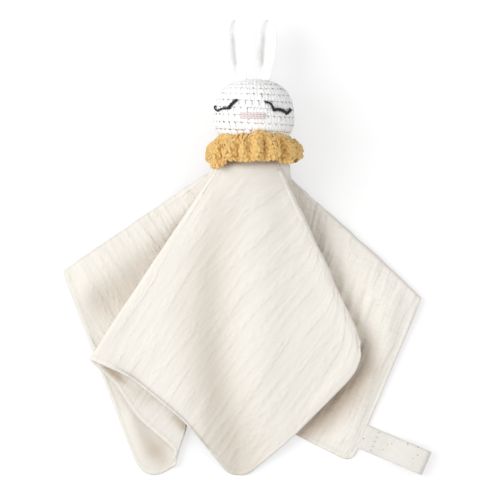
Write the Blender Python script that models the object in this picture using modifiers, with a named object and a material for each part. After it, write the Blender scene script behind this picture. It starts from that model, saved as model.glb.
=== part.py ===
"""Comfort blanket lovey: a crocheted rabbit's head on a folded muslin square.

It lies on its back with the face up. +Z is up, +Y runs from the cloth to the
ears and +X is to the right of the face. The origin is on the surface that it
lies on, under the middle of its outline. All lengths are in metres.
"""

import math

import bmesh
import bpy
from mathutils import Matrix, Vector

# The muslin square, two panels sewn edge to edge and turned
SQUARE_SIDE = 0.306
PANEL_THICKNESS = 0.0006
PANEL_GAP = 0.0003
LAYER_RISE_AT_HEM = 0.0024
LAYER_RISE_AT_NECK = 0.0034
FOLD_HALF_WIDTH = 0.0019

# The neck, where the head is sewn to the middle of the square
NECK_X = 0.00427
NECK_Y = 0.05916
NECK_KNOT_RADIUS = 0.0016
CLEARANCE = 0.0003

# The head, turned about the line through the neck and the crown
HEAD_RADIUS = 0.0264
CROWN_HEIGHT = 0.0264
JAW_HEIGHT = 0.0200
HEAD_WALL = 0.0020
HEAD_OPENING_RADIUS = 0.0030
FLOOR_CUT = 0.0005
FLOOR_BLOCK_SHARE = 4
PLUG_EDGE_SHARE = 0.8

# The crocheted ruffle round the neck
RUFFLE_THICKNESS = 0.0020
RUFFLE_HEM_RADIUS = 0.0286
RUFFLE_WAVE = 0.0020
RUFFLE_HEM_DROP = 0.0032
RUFFLE_TOP_FRONT = 0.0140
RUFFLE_TOP_BACK = 0.0092
RUFFLE_WAVES = 11
RUFFLE_BACK_WAVE_SHARE = 0.25
RUFFLE_FLARE_POWER = 0.8
RUFFLE_WAVE_ONSET_SHARE = 1.5

# The embroidered face
EYE_YARN_RADIUS = 0.0008
NOSE_YARN_RADIUS = 0.0016

# The ears
EAR_LENGTH = 0.0385
EAR_HALF_WIDTH = 0.0068
EAR_WALL = 0.0024
EAR_CUP_DEPTH = 0.0042
EAR_ROOT_RADIUS = 0.0019
EAR_PINCH_HALF_WIDTH = 0.0046
EAR_ROOT_SHARE = 0.7
EAR_CUP_START_SHARE = 0.12
EAR_CUP_SPAN_SHARE = 0.80
EAR_CUP_POWER = 0.7
EAR_CUP_BALANCE_SHARE = 0.5
EAR_TIP_SHARE = 0.9
EAR_TIP_THINNING_SHARE = 3
EAR_RIM_THINNING_SHARE = 0.45
EAR_DROOP = math.radians(12)
EAR_LEFT_X = -0.0090
EAR_RIGHT_X = 0.0067
EAR_LEFT_LEAN = math.radians(5)
EAR_RIGHT_LEAN = math.radians(-4)

# The cotton tape loop on the hem
TAPE_WIDTH = 0.0160
TAPE_THICKNESS = 0.0008
TAPE_REACH = 0.0435
TAPE_EYE_HEIGHT = 0.0052
TAPE_ROOT_GAP = 0.0006
TAPE_HINGE_INSET = 0.0006
TAPE_FROM_CORNER = 0.0184
TAPE_FLAT_SHARE = 0.30
TACK_RADIUS = 0.0004
TACK_STITCHES = 5
TACK_PLACE_SHARE = 0.55
TACK_SPREAD_SHARE = 0.8

# Mesh counts
RADIAL_STEPS = 24
EAR_RINGS = 10
EAR_RIM_STEPS = 6
RUFFLE_COLUMNS_PER_WAVE = 8
RUFFLE_ROWS = 4
TAPE_CURVE_STEPS = 8
KNOT_SEGMENTS = 12
KNOT_RINGS = 8
STITCH_STEP_DEGREES = 6
MERGE_DISTANCE = 0.00005

# Shape exponents: for the head 2 is an ellipse and more is squarer
TAPE_LOOP_FULLNESS = 1.6
CORNER_ROUNDING_POWER = 6
EAR_RIM_POWER = 4
CROWN_SQUARENESS = 2.5
JAW_SQUARENESS = 2.0

# Heights and places that follow from the sizes above
STACK = 2 * PANEL_THICKNESS + PANEL_GAP
NECK_Z = HEAD_RADIUS - FLOOR_CUT
NECK = Vector((NECK_X, NECK_Y, NECK_Z))
HEAD_BASE_RISE = NECK_KNOT_RADIUS + CLEARANCE
HEAD_WAIST_RISE = HEAD_BASE_RISE + JAW_HEIGHT

# The hem of the folded square. Each row is a place on the hem: sides counted
# from the front corner, shares of the side across and down from the neck, the
# layer on the way down and at the hem, the angle at which the cloth leaves the
# neck, the fold's turn (1 up, -1 down, 0 none) and the share of corner rounding.
HEM_SHARES = (
    (0.000, -0.036, 0.689, 3.0, 0.0, 0, 0, 0.045),
    (0.130, 0.075, 0.597, 3.0, 2.0, 22, 0, 0.020),
    (0.376, 0.234, 0.434, 2.5, 2.5, 56, -1, 0.030),
    (0.693, -0.063, 0.509, 1.5, 1.5, 88, -1, 0.010),
    (1.000, 0.205, 0.645, 1.0, 0.0, 108, 0, 0.010),
    (1.385, 0.352, 0.298, 0.5, 0.5, 124, -1, 0.008),
    (1.805, 0.038, 0.551, 0.0, 0.0, 155, 0, 0.050),
    (2.000, -0.082, 0.555, 0.0, 0.0, 180, 0, 0.050),
    (2.154, -0.190, 0.551, 0.0, 0.0, 205, 0, 0.050),
    (2.535, -0.400, 0.243, 0.5, 0.5, 236, 1, 0.008),
    (3.000, -0.218, 0.689, 1.0, 0.0, 255, 0, 0.030),
    (3.047, -0.170, 0.664, 1.5, 0.8, 264, 1, 0.008),
    (3.250, -0.226, 0.555, 2.0, 1.8, 278, 0, 0.020),
    (3.583, -0.345, 0.427, 2.5, 2.5, 304, 1, 0.010),
    (3.690, -0.259, 0.465, 3.0, 3.0, 318, 0, 0.030),
    (3.840, -0.146, 0.557, 3.0, 3.0, 340, 0, 0.030),
    (3.890, -0.112, 0.598, 3.0, 2.7, 347, 0, 0.020),
    (4.000, -0.036, 0.689, 3.0, 0.0, 360, 0, 0.045),
)
RIGHT_CORNER_SIDE = 1.0
RIGHT_FOLD_SIDE = 1.385
LONGEST_SPOKE_STEP_SHARE = 0.15
FOLD_SAMPLE_SHARE = 0.04
RING_FOLD_DEGREES = 3
DRAPE_SHARE = 0.66

# Rings of the cloth at the neck, in shares of the head's radius: half width,
# half height, drop below the neck and shift to the left
NECK_RING_SHARES = (
    (0.115, 0.115, 0.000, 0.00),
    (0.320, 0.300, 0.055, 0.00),
    (0.600, 0.420, 0.120, 0.02),
    (0.860, 0.490, 0.185, 0.06),
    (0.980, 0.470, 0.290, 0.09),
)
SIDE_DROP_SHARE = 0.62
SKIRT_SHARES = (0.10, 0.22, 0.34, 0.50, 0.69, 0.86, 1.00)
LANDING_SHARE_UNDER = 0.30
LANDING_SHARE_OVER = 0.62

# The closed eyes: degrees round the head from straight up, and height above
# the widest part in shares of the crown's height
EYE_LEFT_SHARES = (
    (-76, 0.341), (-63, 0.216), (-50, 0.276), (-38, 0.284), (-33, 0.394), (-27, 0.473),
)
EYE_RIGHT_SHARES = (
    (17, 0.428), (24, 0.405), (29, 0.231), (36, 0.254), (48, 0.200), (52, 0.150), (64, 0.260),
)
NOSE_SHARES = ((-20, 0.105), (-9, 0.100), (3, 0.098), (15, 0.095))

# The ear's half width along its length, in shares
EAR_OUTLINE_SHARES = (
    (0.00, 0.66), (0.12, 0.74), (0.28, 0.90), (0.48, 1.00), (0.68, 0.97),
    (0.84, 0.80), (0.93, 0.58), (1.00, 0.24),
)


def clear_scene():
    for item in list(bpy.data.objects):
        bpy.data.objects.remove(item, do_unlink=True)


def new_collection(name):
    collection = bpy.data.collections.new(name)
    bpy.context.scene.collection.children.link(collection)
    return collection


def make_material(name, colour, roughness):
    material = bpy.data.materials.new(name)
    material.use_nodes = True
    shader = material.node_tree.nodes["Principled BSDF"]
    shader.inputs["Base Color"].default_value = (*colour, 1.0)
    shader.inputs["Roughness"].default_value = roughness
    shader.inputs["Metallic"].default_value = 0.0
    material.diffuse_color = (*colour, 1.0)
    return material


def add_object(name, data, collection, material, axis=None):
    item = bpy.data.objects.new(name, data)
    collection.objects.link(item)
    item.data.materials.append(material)
    if axis is not None:
        item.parent = axis
        item.matrix_parent_inverse = Matrix.Translation(-axis.location)
    return item


def add_axis(name, place, collection):
    axis = bpy.data.objects.new(name, None)
    axis.location = place
    axis.empty_display_size = HEAD_RADIUS
    collection.objects.link(axis)
    return axis


def mesh_from(name, bm):
    bmesh.ops.recalc_face_normals(bm, faces=bm.faces)
    mesh = bpy.data.meshes.new(name)
    bm.to_mesh(mesh)
    bm.free()
    mesh.shade_smooth()
    return mesh


def solidify(item, thickness, offset):
    wall = item.modifiers.new("wall", "SOLIDIFY")
    wall.thickness = thickness
    wall.offset = offset
    wall.use_even_offset = False
    return wall


def interpolate(rows, place):
    """Read a table of rows at a place in its first column."""
    for low, high in zip(rows, rows[1:]):
        if place <= high[0]:
            share = (place - low[0]) / (high[0] - low[0])
            return [a + (b - a) * share for a, b in zip(low, high)]
    return list(rows[-1])


def ease(share):
    share = min(max(share, 0.0), 1.0)
    return share * share * (3 - 2 * share)


def layer_at(side, fold_side, column):
    """The layer a spoke lies in: level in a panel, stepping at each fold."""
    side = side % 4
    for low, high in zip(HEM_SHARES, HEM_SHARES[1:]):
        if low[0] <= side < high[0]:
            break
    if fold_side == 0 and side == low[0]:
        return low[column]
    if side == low[0]:
        return low[column] + fold_side * low[6] / 2
    share = (side - low[0]) / (high[0] - low[0])
    start = low[column] + low[6] / 2
    end = high[column] - high[6] / 2
    return start + (end - start) * share


def hem_point(side):
    row = interpolate(HEM_SHARES, side % 4)
    return Vector((NECK_X + row[1] * SQUARE_SIDE, NECK_Y - row[2] * SQUARE_SIDE))


def rounded_hem_point(side):
    reach = interpolate(HEM_SHARES, side % 4)[7]
    steps = (-1.0, -0.5, 0.0, 0.5, 1.0)
    total = sum((hem_point(side + reach * step) for step in steps), Vector((0, 0)))
    return total / len(steps)


def neck_ring_point(side, ring, fold_side):
    row = interpolate(HEM_SHARES, side % 4)
    half_width, half_height, drop, shift = [share * HEAD_RADIUS for share in ring]
    turn = math.radians(row[5] + fold_side * RING_FOLD_DEGREES)
    drop *= SIDE_DROP_SHARE + (1 - SIDE_DROP_SHARE) * math.cos(turn) ** 2
    flat_drop = NECK_KNOT_RADIUS + CLEARANCE + STACK / 2
    return Vector((
        NECK_X - shift + half_width * math.sin(turn),
        NECK_Y - flat_drop - drop,
        NECK_Z + half_height * math.cos(turn),
    ))


def skirt_plan(side, share):
    start = neck_ring_point(side, NECK_RING_SHARES[-1], 0).xy
    sharp = hem_point(side)
    rounding = (rounded_hem_point(side) - sharp) * share ** CORNER_ROUNDING_POWER
    return start + (sharp - start) * share + rounding


def skirt_point(side, share, fold_side):
    """A point of the laid skirt, share of the way from the neck to the hem."""
    plan = skirt_plan(side, share)
    if fold_side:
        inward = skirt_plan(side + fold_side * FOLD_SAMPLE_SHARE, share) - plan
        plan = plan + inward.normalized() * min(FOLD_HALF_WIDTH, inward.length)
    row = interpolate(HEM_SHARES, side % 4)
    to_hem = ease((share - DRAPE_SHARE) / (1 - DRAPE_SHARE))
    layer = layer_at(side, fold_side, 3)
    at_hem = layer_at(side, fold_side, 4)
    rise = LAYER_RISE_AT_NECK + (LAYER_RISE_AT_HEM - LAYER_RISE_AT_NECK) * share
    laid = STACK / 2 + (layer + (at_hem - layer) * to_hem) * rise
    upness = (1 + math.cos(math.radians(row[5]))) / 2
    landing = LANDING_SHARE_UNDER + (LANDING_SHARE_OVER - LANDING_SHARE_UNDER) * upness
    fall = max(1 - share / landing, 0.0) ** 2
    leaving = neck_ring_point(side, NECK_RING_SHARES[-1], 0).z
    flat = STACK / 2 + row[3] * LAYER_RISE_AT_NECK
    return Vector((plan.x, plan.y, laid + (leaving - flat) * fall))


def cloth_spokes():
    """Places round the hem: three at each fold and others spread between."""
    spokes = []
    for low, high in zip(HEM_SHARES, HEM_SHARES[1:]):
        if low[6]:
            spokes += [(low[0], -1), (low[0], 0), (low[0], 1)]
        else:
            spokes.append((low[0], 0))
        extra = int((high[0] - low[0]) / LONGEST_SPOKE_STEP_SHARE)
        for step in range(1, extra + 1):
            side = low[0] + (high[0] - low[0]) * step / (extra + 1)
            spokes.append((side, 0))
    return spokes


def cloth_mesh(name, shift):
    """The middle surface of the folded square, moved out along its normals."""
    bm = bmesh.new()
    spokes = cloth_spokes()
    rings = []
    for ring in NECK_RING_SHARES:
        rings.append([bm.verts.new(neck_ring_point(s[0], ring, s[1])) for s in spokes])
    for share in SKIRT_SHARES:
        rings.append([bm.verts.new(skirt_point(s[0], share, s[1])) for s in spokes])
    for inner, outer in zip(rings, rings[1:]):
        for index in range(len(spokes)):
            after = (index + 1) % len(spokes)
            bm.faces.new((inner[index], inner[after], outer[after], outer[index]))
    bm.faces.new(rings[0][::-1])
    bmesh.ops.recalc_face_normals(bm, faces=bm.faces)
    bm.normal_update()
    if rings[0][0].normal.y < 0:
        bmesh.ops.reverse_faces(bm, faces=bm.faces)
        bm.normal_update()
    places = [(vert, vert.co + vert.normal * shift) for vert in bm.verts]
    for vert, place in places:
        vert.co = place
    mesh = bpy.data.meshes.new(name)
    bm.to_mesh(mesh)
    bm.free()
    mesh.shade_smooth()
    return mesh


def make_cloth(collection, material):
    face = add_object(
        "muslin_face", cloth_mesh("muslin_face", PANEL_GAP / 2), collection, material)
    solidify(face, PANEL_THICKNESS, 1)
    lining = add_object(
        "muslin_lining", cloth_mesh("muslin_lining", -PANEL_GAP / 2), collection, material)
    solidify(lining, PANEL_THICKNESS, -1)


def head_radius_at(height):
    """The head's radius at a height over its widest part, along the neck line."""
    if height >= 0:
        share, squareness = height / CROWN_HEIGHT, CROWN_SQUARENESS
    else:
        share, squareness = -height / JAW_HEIGHT, JAW_SQUARENESS
    return HEAD_RADIUS * max(1 - share ** squareness, 0.0) ** (1 / squareness)


def head_profile(inset):
    """Points down the head's side, from the crown to the neck."""
    half_steps = RADIAL_STEPS // 4
    radius = HEAD_RADIUS - inset
    points = []
    for step in range(half_steps + 1):
        turn = math.radians(90) * step / half_steps
        across = radius * math.sin(turn) ** (2 / CROWN_SQUARENESS)
        up = (CROWN_HEIGHT - inset) * math.cos(turn) ** (2 / CROWN_SQUARENESS)
        points.append((across, HEAD_WAIST_RISE + up))
    for step in range(1, half_steps + 1):
        turn = math.radians(90) * step / half_steps
        across = radius * math.cos(turn) ** (2 / JAW_SQUARENESS)
        down = (JAW_HEIGHT - inset) * math.sin(turn) ** (2 / JAW_SQUARENESS)
        points.append((across, HEAD_WAIST_RISE - down))
    points[0] = (0.0, points[0][1])
    points[-1] = (0.0, points[-1][1])
    return points


def turned_object(name, points, collection, material, axis):
    """A profile in the XZ plane turned about the line through the neck."""
    mesh = bpy.data.meshes.new(name)
    verts = [(across, 0.0, up) for across, up in points]
    edges = [(index, index + 1) for index in range(len(points) - 1)]
    mesh.from_pydata(verts, edges, [])
    item = add_object(name, mesh, collection, material)
    item.parent = axis
    item.rotation_euler = (math.radians(-90), 0, 0)
    screw = item.modifiers.new("turn", "SCREW")
    screw.steps = RADIAL_STEPS
    screw.render_steps = RADIAL_STEPS
    screw.use_merge_vertices = True
    screw.merge_threshold = MERGE_DISTANCE
    screw.use_smooth_shade = True
    return item


def make_floor_cutter(cutters):
    """A block whose top is the surface that the head rests on."""
    bm = bmesh.new()
    bmesh.ops.create_cube(bm, size=1)
    block = FLOOR_BLOCK_SHARE * HEAD_RADIUS
    for vert in bm.verts:
        vert.co = vert.co * block
        vert.co += Vector((NECK_X, NECK_Y + HEAD_WAIST_RISE, -block / 2))
    cutter = bpy.data.objects.new("floor_cutter", mesh_from("floor_cutter", bm))
    cutters.objects.link(cutter)
    cutter.hide_render = True
    cutter.display_type = "WIRE"
    return cutter


def make_head(collection, cutters, wool, filling, axis):
    outer = head_profile(0.0)
    rim = (HEAD_OPENING_RADIUS, HEAD_WAIST_RISE - JAW_HEIGHT
           * math.sqrt(1 - (HEAD_OPENING_RADIUS / HEAD_RADIUS) ** 2))
    cover = turned_object("head_cover", outer[:-1] + [rim], collection, wool, axis)
    wall = solidify(cover, HEAD_WALL, -1)
    wall.use_even_offset = True
    cut = cover.modifiers.new("flat_back", "BOOLEAN")
    cut.object = make_floor_cutter(cutters)

    inset = HEAD_WALL + CLEARANCE
    turned_object("head_stuffing", head_profile(inset), collection, filling, axis)

    plug_radius = HEAD_OPENING_RADIUS - CLEARANCE
    plug_top = HEAD_BASE_RISE + HEAD_WALL
    plug_flat = plug_radius * PLUG_EDGE_SHARE
    plug = [
        (0.0, plug_top), (plug_flat, plug_top), (plug_radius, plug_top - CLEARANCE),
        (plug_radius, HEAD_BASE_RISE + CLEARANCE), (plug_flat, HEAD_BASE_RISE),
        (0.0, HEAD_BASE_RISE),
    ]
    turned_object("head_gathering_yarn", plug, collection, wool, axis)


def head_surface(degrees, height, stand_off):
    """A point on the head, from its turn round the neck line and its height."""
    radius = head_radius_at(height) + stand_off
    turn = math.radians(degrees)
    return NECK + Vector((
        radius * math.sin(turn), HEAD_WAIST_RISE + height, radius * math.cos(turn)))


def yarn(name, points, radius, collection, material, axis):
    curve = bpy.data.curves.new(name, "CURVE")
    curve.dimensions = "3D"
    curve.bevel_depth = radius
    curve.bevel_resolution = 1
    curve.use_fill_caps = True
    spline = curve.splines.new("POLY")
    spline.points.add(len(points) - 1)
    for point, place in zip(spline.points, points):
        point.co = (*place, 1.0)
    return add_object(name, curve, collection, material, axis)


def face_stitch(name, rows, radius, collection, material, axis):
    stand_off = radius + CLEARANCE
    points = []
    for low, high in zip(rows, rows[1:]):
        steps = max(int((high[0] - low[0]) / STITCH_STEP_DEGREES), 1)
        for step in range(steps):
            share = step / steps
            degrees = low[0] + (high[0] - low[0]) * share
            height = (low[1] + (high[1] - low[1]) * share) * CROWN_HEIGHT
            points.append(head_surface(degrees, height, stand_off))
    points.append(head_surface(rows[-1][0], rows[-1][1] * CROWN_HEIGHT, stand_off))
    return yarn(name, points, radius, collection, material, axis)


def make_neck_knot(collection, material, axis):
    bm = bmesh.new()
    bmesh.ops.create_uvsphere(
        bm, u_segments=KNOT_SEGMENTS, v_segments=KNOT_RINGS, radius=NECK_KNOT_RADIUS)
    bmesh.ops.translate(bm, verts=bm.verts, vec=NECK)
    add_object("neck_knot", mesh_from("neck_knot", bm), collection, material, axis)


def ruffle_point(column, columns, row_share):
    turn = math.tau * column / columns
    frontness = (1 + math.cos(turn)) / 2
    top = RUFFLE_TOP_BACK + (RUFFLE_TOP_FRONT - RUFFLE_TOP_BACK) * frontness
    along = top + (-RUFFLE_HEM_DROP - top) * row_share
    snug = head_radius_at(top - HEAD_WAIST_RISE) + CLEARANCE + RUFFLE_THICKNESS / 2
    wave_share = RUFFLE_BACK_WAVE_SHARE + (1 - RUFFLE_BACK_WAVE_SHARE) * math.sqrt(frontness)
    wave = RUFFLE_WAVE * math.cos(RUFFLE_WAVES * turn) * wave_share
    flare = row_share ** RUFFLE_FLARE_POWER
    grown = ease(row_share * RUFFLE_WAVE_ONSET_SHARE)
    hugging = snug + (RUFFLE_HEM_RADIUS - snug) * flare + wave * grown
    over_head = 0.0
    if along > HEAD_BASE_RISE:
        over_head = head_radius_at(min(along - HEAD_WAIST_RISE, 0.0))
    radius = max(hugging, over_head + CLEARANCE + RUFFLE_THICKNESS / 2)
    height = NECK_Z + radius * math.cos(turn)
    return Vector((
        NECK_X + radius * math.sin(turn), NECK_Y + along, max(height, RUFFLE_THICKNESS / 2)))


def make_ruffle(collection, material, axis):
    bm = bmesh.new()
    columns = RUFFLE_WAVES * RUFFLE_COLUMNS_PER_WAVE
    rows = []
    for row in range(RUFFLE_ROWS + 1):
        share = row / RUFFLE_ROWS
        rows.append([bm.verts.new(ruffle_point(c, columns, share)) for c in range(columns)])
    for upper, lower in zip(rows, rows[1:]):
        for index in range(columns):
            after = (index + 1) % columns
            bm.faces.new((upper[index], upper[after], lower[after], lower[index]))
    ruffle = add_object("ruffle_collar", mesh_from("ruffle_collar", bm), collection, material, axis)
    solidify(ruffle, RUFFLE_THICKNESS, 0)


def ear_hinge_place(side_x):
    """The ear's bend line, just clear of the crown where it is highest."""
    nearest = max(abs(side_x) - EAR_PINCH_HALF_WIDTH, 0.0)
    share = nearest / HEAD_RADIUS
    crown = CROWN_HEIGHT * (1 - share ** CROWN_SQUARENESS) ** (1 / CROWN_SQUARENESS)
    rise = HEAD_WAIST_RISE + crown + CLEARANCE + EAR_ROOT_RADIUS
    return NECK + Vector((side_x, rise, 0))


def ear_section(share):
    """Half width and cup depth at a share of the ear's length."""
    half_width = interpolate(EAR_OUTLINE_SHARES, share)[1] * EAR_HALF_WIDTH
    place = min(EAR_CUP_START_SHARE + share * EAR_CUP_SPAN_SHARE, 1.0)
    cup = EAR_CUP_DEPTH * math.sin(math.pi * place) ** EAR_CUP_POWER
    return half_width, cup


def make_ear(name, hinge, lean, collection, material, axis):
    """A cupped leaf, pinched at its rounded root, lofted ring by ring."""
    bm = bmesh.new()
    turn = Matrix.Rotation(lean, 4, "Z") @ Matrix.Rotation(-EAR_DROOP, 4, "X")
    place = Matrix.Translation(hinge) @ turn
    rings = []
    for step in range(EAR_RINGS + 1):
        share = step / EAR_RINGS
        half_width, cup = ear_section(share)
        past_tip = max(share - EAR_TIP_SHARE, 0.0)
        thick = EAR_WALL / 2 * (1 - EAR_TIP_THINNING_SHARE * past_tip)
        along = share * EAR_LENGTH
        ring = []
        for layer in (-1, 1):
            for rim in range(EAR_RIM_STEPS + 1):
                across = (-1 + 2 * rim / EAR_RIM_STEPS) * layer
                rim_thin = 1 - EAR_RIM_THINNING_SHARE * abs(across) ** EAR_RIM_POWER
                height = cup * (across ** 2 - EAR_CUP_BALANCE_SHARE) - layer * thick * rim_thin
                ring.append(bm.verts.new(place @ Vector((across * half_width, along, height))))
        rings.append(ring)
    root = []
    for vert in rings[0]:
        local = place.inverted() @ vert.co
        limit = EAR_ROOT_RADIUS * EAR_ROOT_SHARE
        height = max(min(local.z, limit), -limit)
        vert.co = place @ Vector((local.x, local.y, height))
        root.append(bm.verts.new(place @ Vector((
            local.x * EAR_ROOT_SHARE, -EAR_ROOT_RADIUS, height / 2))))
    rings.insert(0, root)
    count = len(rings[0])
    for inner, outer in zip(rings, rings[1:]):
        for index in range(count):
            after = (index + 1) % count
            bm.faces.new((inner[index], inner[after], outer[after], outer[index]))
    bm.faces.new(rings[0][::-1])
    bm.faces.new(rings[-1])
    bmesh.ops.triangulate(bm, faces=[face for face in bm.faces if len(face.verts) > 4])
    return add_object(name, mesh_from(name, bm), collection, material, axis)


def tape_place():
    """The tape's root on the hem near the right corner, and its frame."""
    corner = hem_point(RIGHT_CORNER_SIDE)
    fold = hem_point(RIGHT_FOLD_SIDE)
    along_hem = (fold - corner).normalized()
    outward = Vector((along_hem.y, -along_hem.x))
    root = corner + along_hem * TAPE_FROM_CORNER + outward * TAPE_ROOT_GAP
    turn = Matrix.Rotation(math.atan2(outward.y, outward.x), 4, "Z")
    return Matrix.Translation((root.x, root.y, 0)) @ turn


def tape_path():
    """The tape's middle line in side view: out flat, round the end and back."""
    half = TAPE_THICKNESS / 2
    flat = TAPE_REACH * TAPE_FLAT_SHARE
    end_radius = TAPE_EYE_HEIGHT / 2 + half
    bottom = half
    upper_root = bottom + TAPE_THICKNESS + CLEARANCE
    top = bottom + 2 * end_radius
    turn_x = TAPE_REACH - end_radius - half
    points = [(0.0, bottom), (flat, bottom), ((flat + turn_x) / 2, bottom)]
    for step in range(TAPE_CURVE_STEPS + 1):
        turn = math.pi * step / TAPE_CURVE_STEPS
        points.append((turn_x + end_radius * math.sin(turn),
                       bottom + end_radius * (1 - math.cos(turn))))
    for step in range(1, TAPE_CURVE_STEPS):
        share = step / TAPE_CURVE_STEPS
        points.append((turn_x + (flat - turn_x) * share,
                       top + (upper_root - top) * ease(share) ** TAPE_LOOP_FULLNESS))
    points += [(flat, upper_root), (0.0, upper_root)]
    return points


def make_tape(collection, material, thread, axis):
    place = tape_place()
    bm = bmesh.new()
    sides = []
    for across in (-TAPE_WIDTH / 2, TAPE_WIDTH / 2):
        sides.append([bm.verts.new(place @ Vector((x, across, z))) for x, z in tape_path()])
    for index in range(len(sides[0]) - 1):
        bm.faces.new((sides[0][index], sides[1][index], sides[1][index + 1], sides[0][index + 1]))
    tape = add_object("loop_tape", mesh_from("loop_tape", bm), collection, material, axis)
    solidify(tape, TAPE_THICKNESS, 0)

    lower_top = TAPE_THICKNESS * 2 + CLEARANCE
    height = lower_top + CLEARANCE + TACK_RADIUS
    reach = TAPE_REACH * TAPE_FLAT_SHARE * TACK_PLACE_SHARE
    points = []
    for stitch in range(TACK_STITCHES * 2 + 1):
        across = (stitch / (TACK_STITCHES * 2) - 1 / 2) * TAPE_WIDTH * TACK_SPREAD_SHARE
        back = TACK_RADIUS * 2 * (1 if stitch % 2 else -1)
        points.append(place @ Vector((reach + back, across, height)))
    yarn("loop_tack", points, TACK_RADIUS, collection, thread, axis)


def build():
    clear_scene()
    parts = new_collection("comfort_blanket_lovey")
    cutters = new_collection("cutters")

    muslin = make_material("muslin", (0.80, 0.74, 0.66), 0.95)
    white_cotton = make_material("white_cotton", (0.84, 0.82, 0.79), 0.9)
    ochre_cotton = make_material("ochre_cotton", (0.72, 0.42, 0.12), 0.9)
    black_yarn = make_material("black_yarn", (0.03, 0.03, 0.03), 0.8)
    pink_yarn = make_material("pink_yarn", (0.80, 0.60, 0.55), 0.85)
    cream_tape = make_material("cream_tape", (0.84, 0.80, 0.72), 0.9)
    filling = make_material("polyester_filling", (0.88, 0.88, 0.88), 1.0)

    nod_axis = add_axis("neck_nod_axis", NECK, parts)
    turn_axis = add_axis("head_turn_axis", NECK, parts)
    make_cloth(parts, muslin)
    make_ruffle(parts, ochre_cotton, nod_axis)
    make_neck_knot(parts, white_cotton, nod_axis)
    make_head(parts, cutters, white_cotton, filling, turn_axis)
    face_stitch("eye_left", EYE_LEFT_SHARES, EYE_YARN_RADIUS, parts, black_yarn, turn_axis)
    face_stitch("eye_right", EYE_RIGHT_SHARES, EYE_YARN_RADIUS, parts, black_yarn, turn_axis)
    face_stitch("nose", NOSE_SHARES, NOSE_YARN_RADIUS, parts, pink_yarn, turn_axis)

    left_hinge = ear_hinge_place(EAR_LEFT_X)
    right_hinge = ear_hinge_place(EAR_RIGHT_X)
    left_axis = add_axis("ear_left_axis", left_hinge, parts)
    right_axis = add_axis("ear_right_axis", right_hinge, parts)
    make_ear("ear_left", left_hinge, EAR_LEFT_LEAN, parts, white_cotton, left_axis)
    make_ear("ear_right", right_hinge, EAR_RIGHT_LEAN, parts, white_cotton, right_axis)

    legs_middle = TAPE_THICKNESS + CLEARANCE / 2
    tape_root = tape_place() @ Vector((TAPE_HINGE_INSET, 0, legs_middle))
    tape_axis = add_axis("loop_flip_axis", tape_root, parts)
    make_tape(parts, cream_tape, white_cotton, tape_axis)


build()
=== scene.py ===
"""Comfort blanket lovey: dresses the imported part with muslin, crochet, yarn and tape.

It lies on its back with the face up. Lengths are in metres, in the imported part's frame.
"""

import math
import random
from functools import partial

import bmesh
import bpy
import numpy as np
from mathutils import Matrix, Vector, noise


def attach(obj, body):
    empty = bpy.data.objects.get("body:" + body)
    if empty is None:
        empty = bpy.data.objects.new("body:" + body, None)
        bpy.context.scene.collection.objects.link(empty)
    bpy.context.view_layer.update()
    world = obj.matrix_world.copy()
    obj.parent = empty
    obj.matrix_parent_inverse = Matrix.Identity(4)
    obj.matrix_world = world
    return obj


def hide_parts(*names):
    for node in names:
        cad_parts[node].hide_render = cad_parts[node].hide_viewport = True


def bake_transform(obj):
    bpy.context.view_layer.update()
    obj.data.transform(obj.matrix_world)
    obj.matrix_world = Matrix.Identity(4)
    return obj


bl_info = {
    "name": "Comfort Blanket Lovey",
    "version": (1, 0, 0),
    "blender": (4, 5, 0),
    "location": "3D View > Sidebar > Lovey",
    "description": "Builds a crocheted comforter on a folded muslin square",
    "category": "Object",
}

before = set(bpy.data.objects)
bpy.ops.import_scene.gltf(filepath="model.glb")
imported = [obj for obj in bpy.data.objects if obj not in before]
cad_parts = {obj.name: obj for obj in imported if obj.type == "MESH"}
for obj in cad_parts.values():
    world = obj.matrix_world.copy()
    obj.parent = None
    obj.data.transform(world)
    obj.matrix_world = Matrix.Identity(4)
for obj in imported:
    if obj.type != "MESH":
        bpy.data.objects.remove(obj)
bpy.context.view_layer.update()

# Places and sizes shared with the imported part
NECK = Vector((0.00427, 0.05916, 0.0259))
SQUARE_SIDE = 0.306
STACK = 0.0015
LAYER_RISE_AT_HEM = 0.0024
LAYER_RISE_AT_NECK = 0.0034
FOLD_HALF_WIDTH = 0.0019
KNOT_ROOM = 0.0019
HEAD_RADIUS = 0.0264
CROWN_HEIGHT = 0.0264
JAW_HEIGHT = 0.0200
HEAD_WAIST_RISE = KNOT_ROOM + JAW_HEIGHT
CROWN_SQUARENESS = 2.5
JAW_SQUARENESS = 2.0
HEAD_SKIN = 0.0006
HEAD_BACKING_INSET = 0.0010
HEAD_ROUNDS_LEAN = 0.05

# Fabric: the weave, the shade painted between folds and how the yarn lies
THREAD_PITCH = 0.00065
THREAD_SLANT = 0.23
# The cloth's colour in a fold's painted shade, as shares of its own colour
PAINTED_FOLD_SHADE_TINT = (0.56, 0.46, 0.37)
UV_PER_METRE = 100
LINE_STEPS = 12
STITCH_SIDES = 6
STITCH_SEAT = 0.0004
STITCH_END_GAP = 0.0005
SLOPE_STEP = 0.0006
LOWEST_YARN = 0.0002
LOWEST_CLOTH = 0.0001
WOBBLE_SEED = 7

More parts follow.
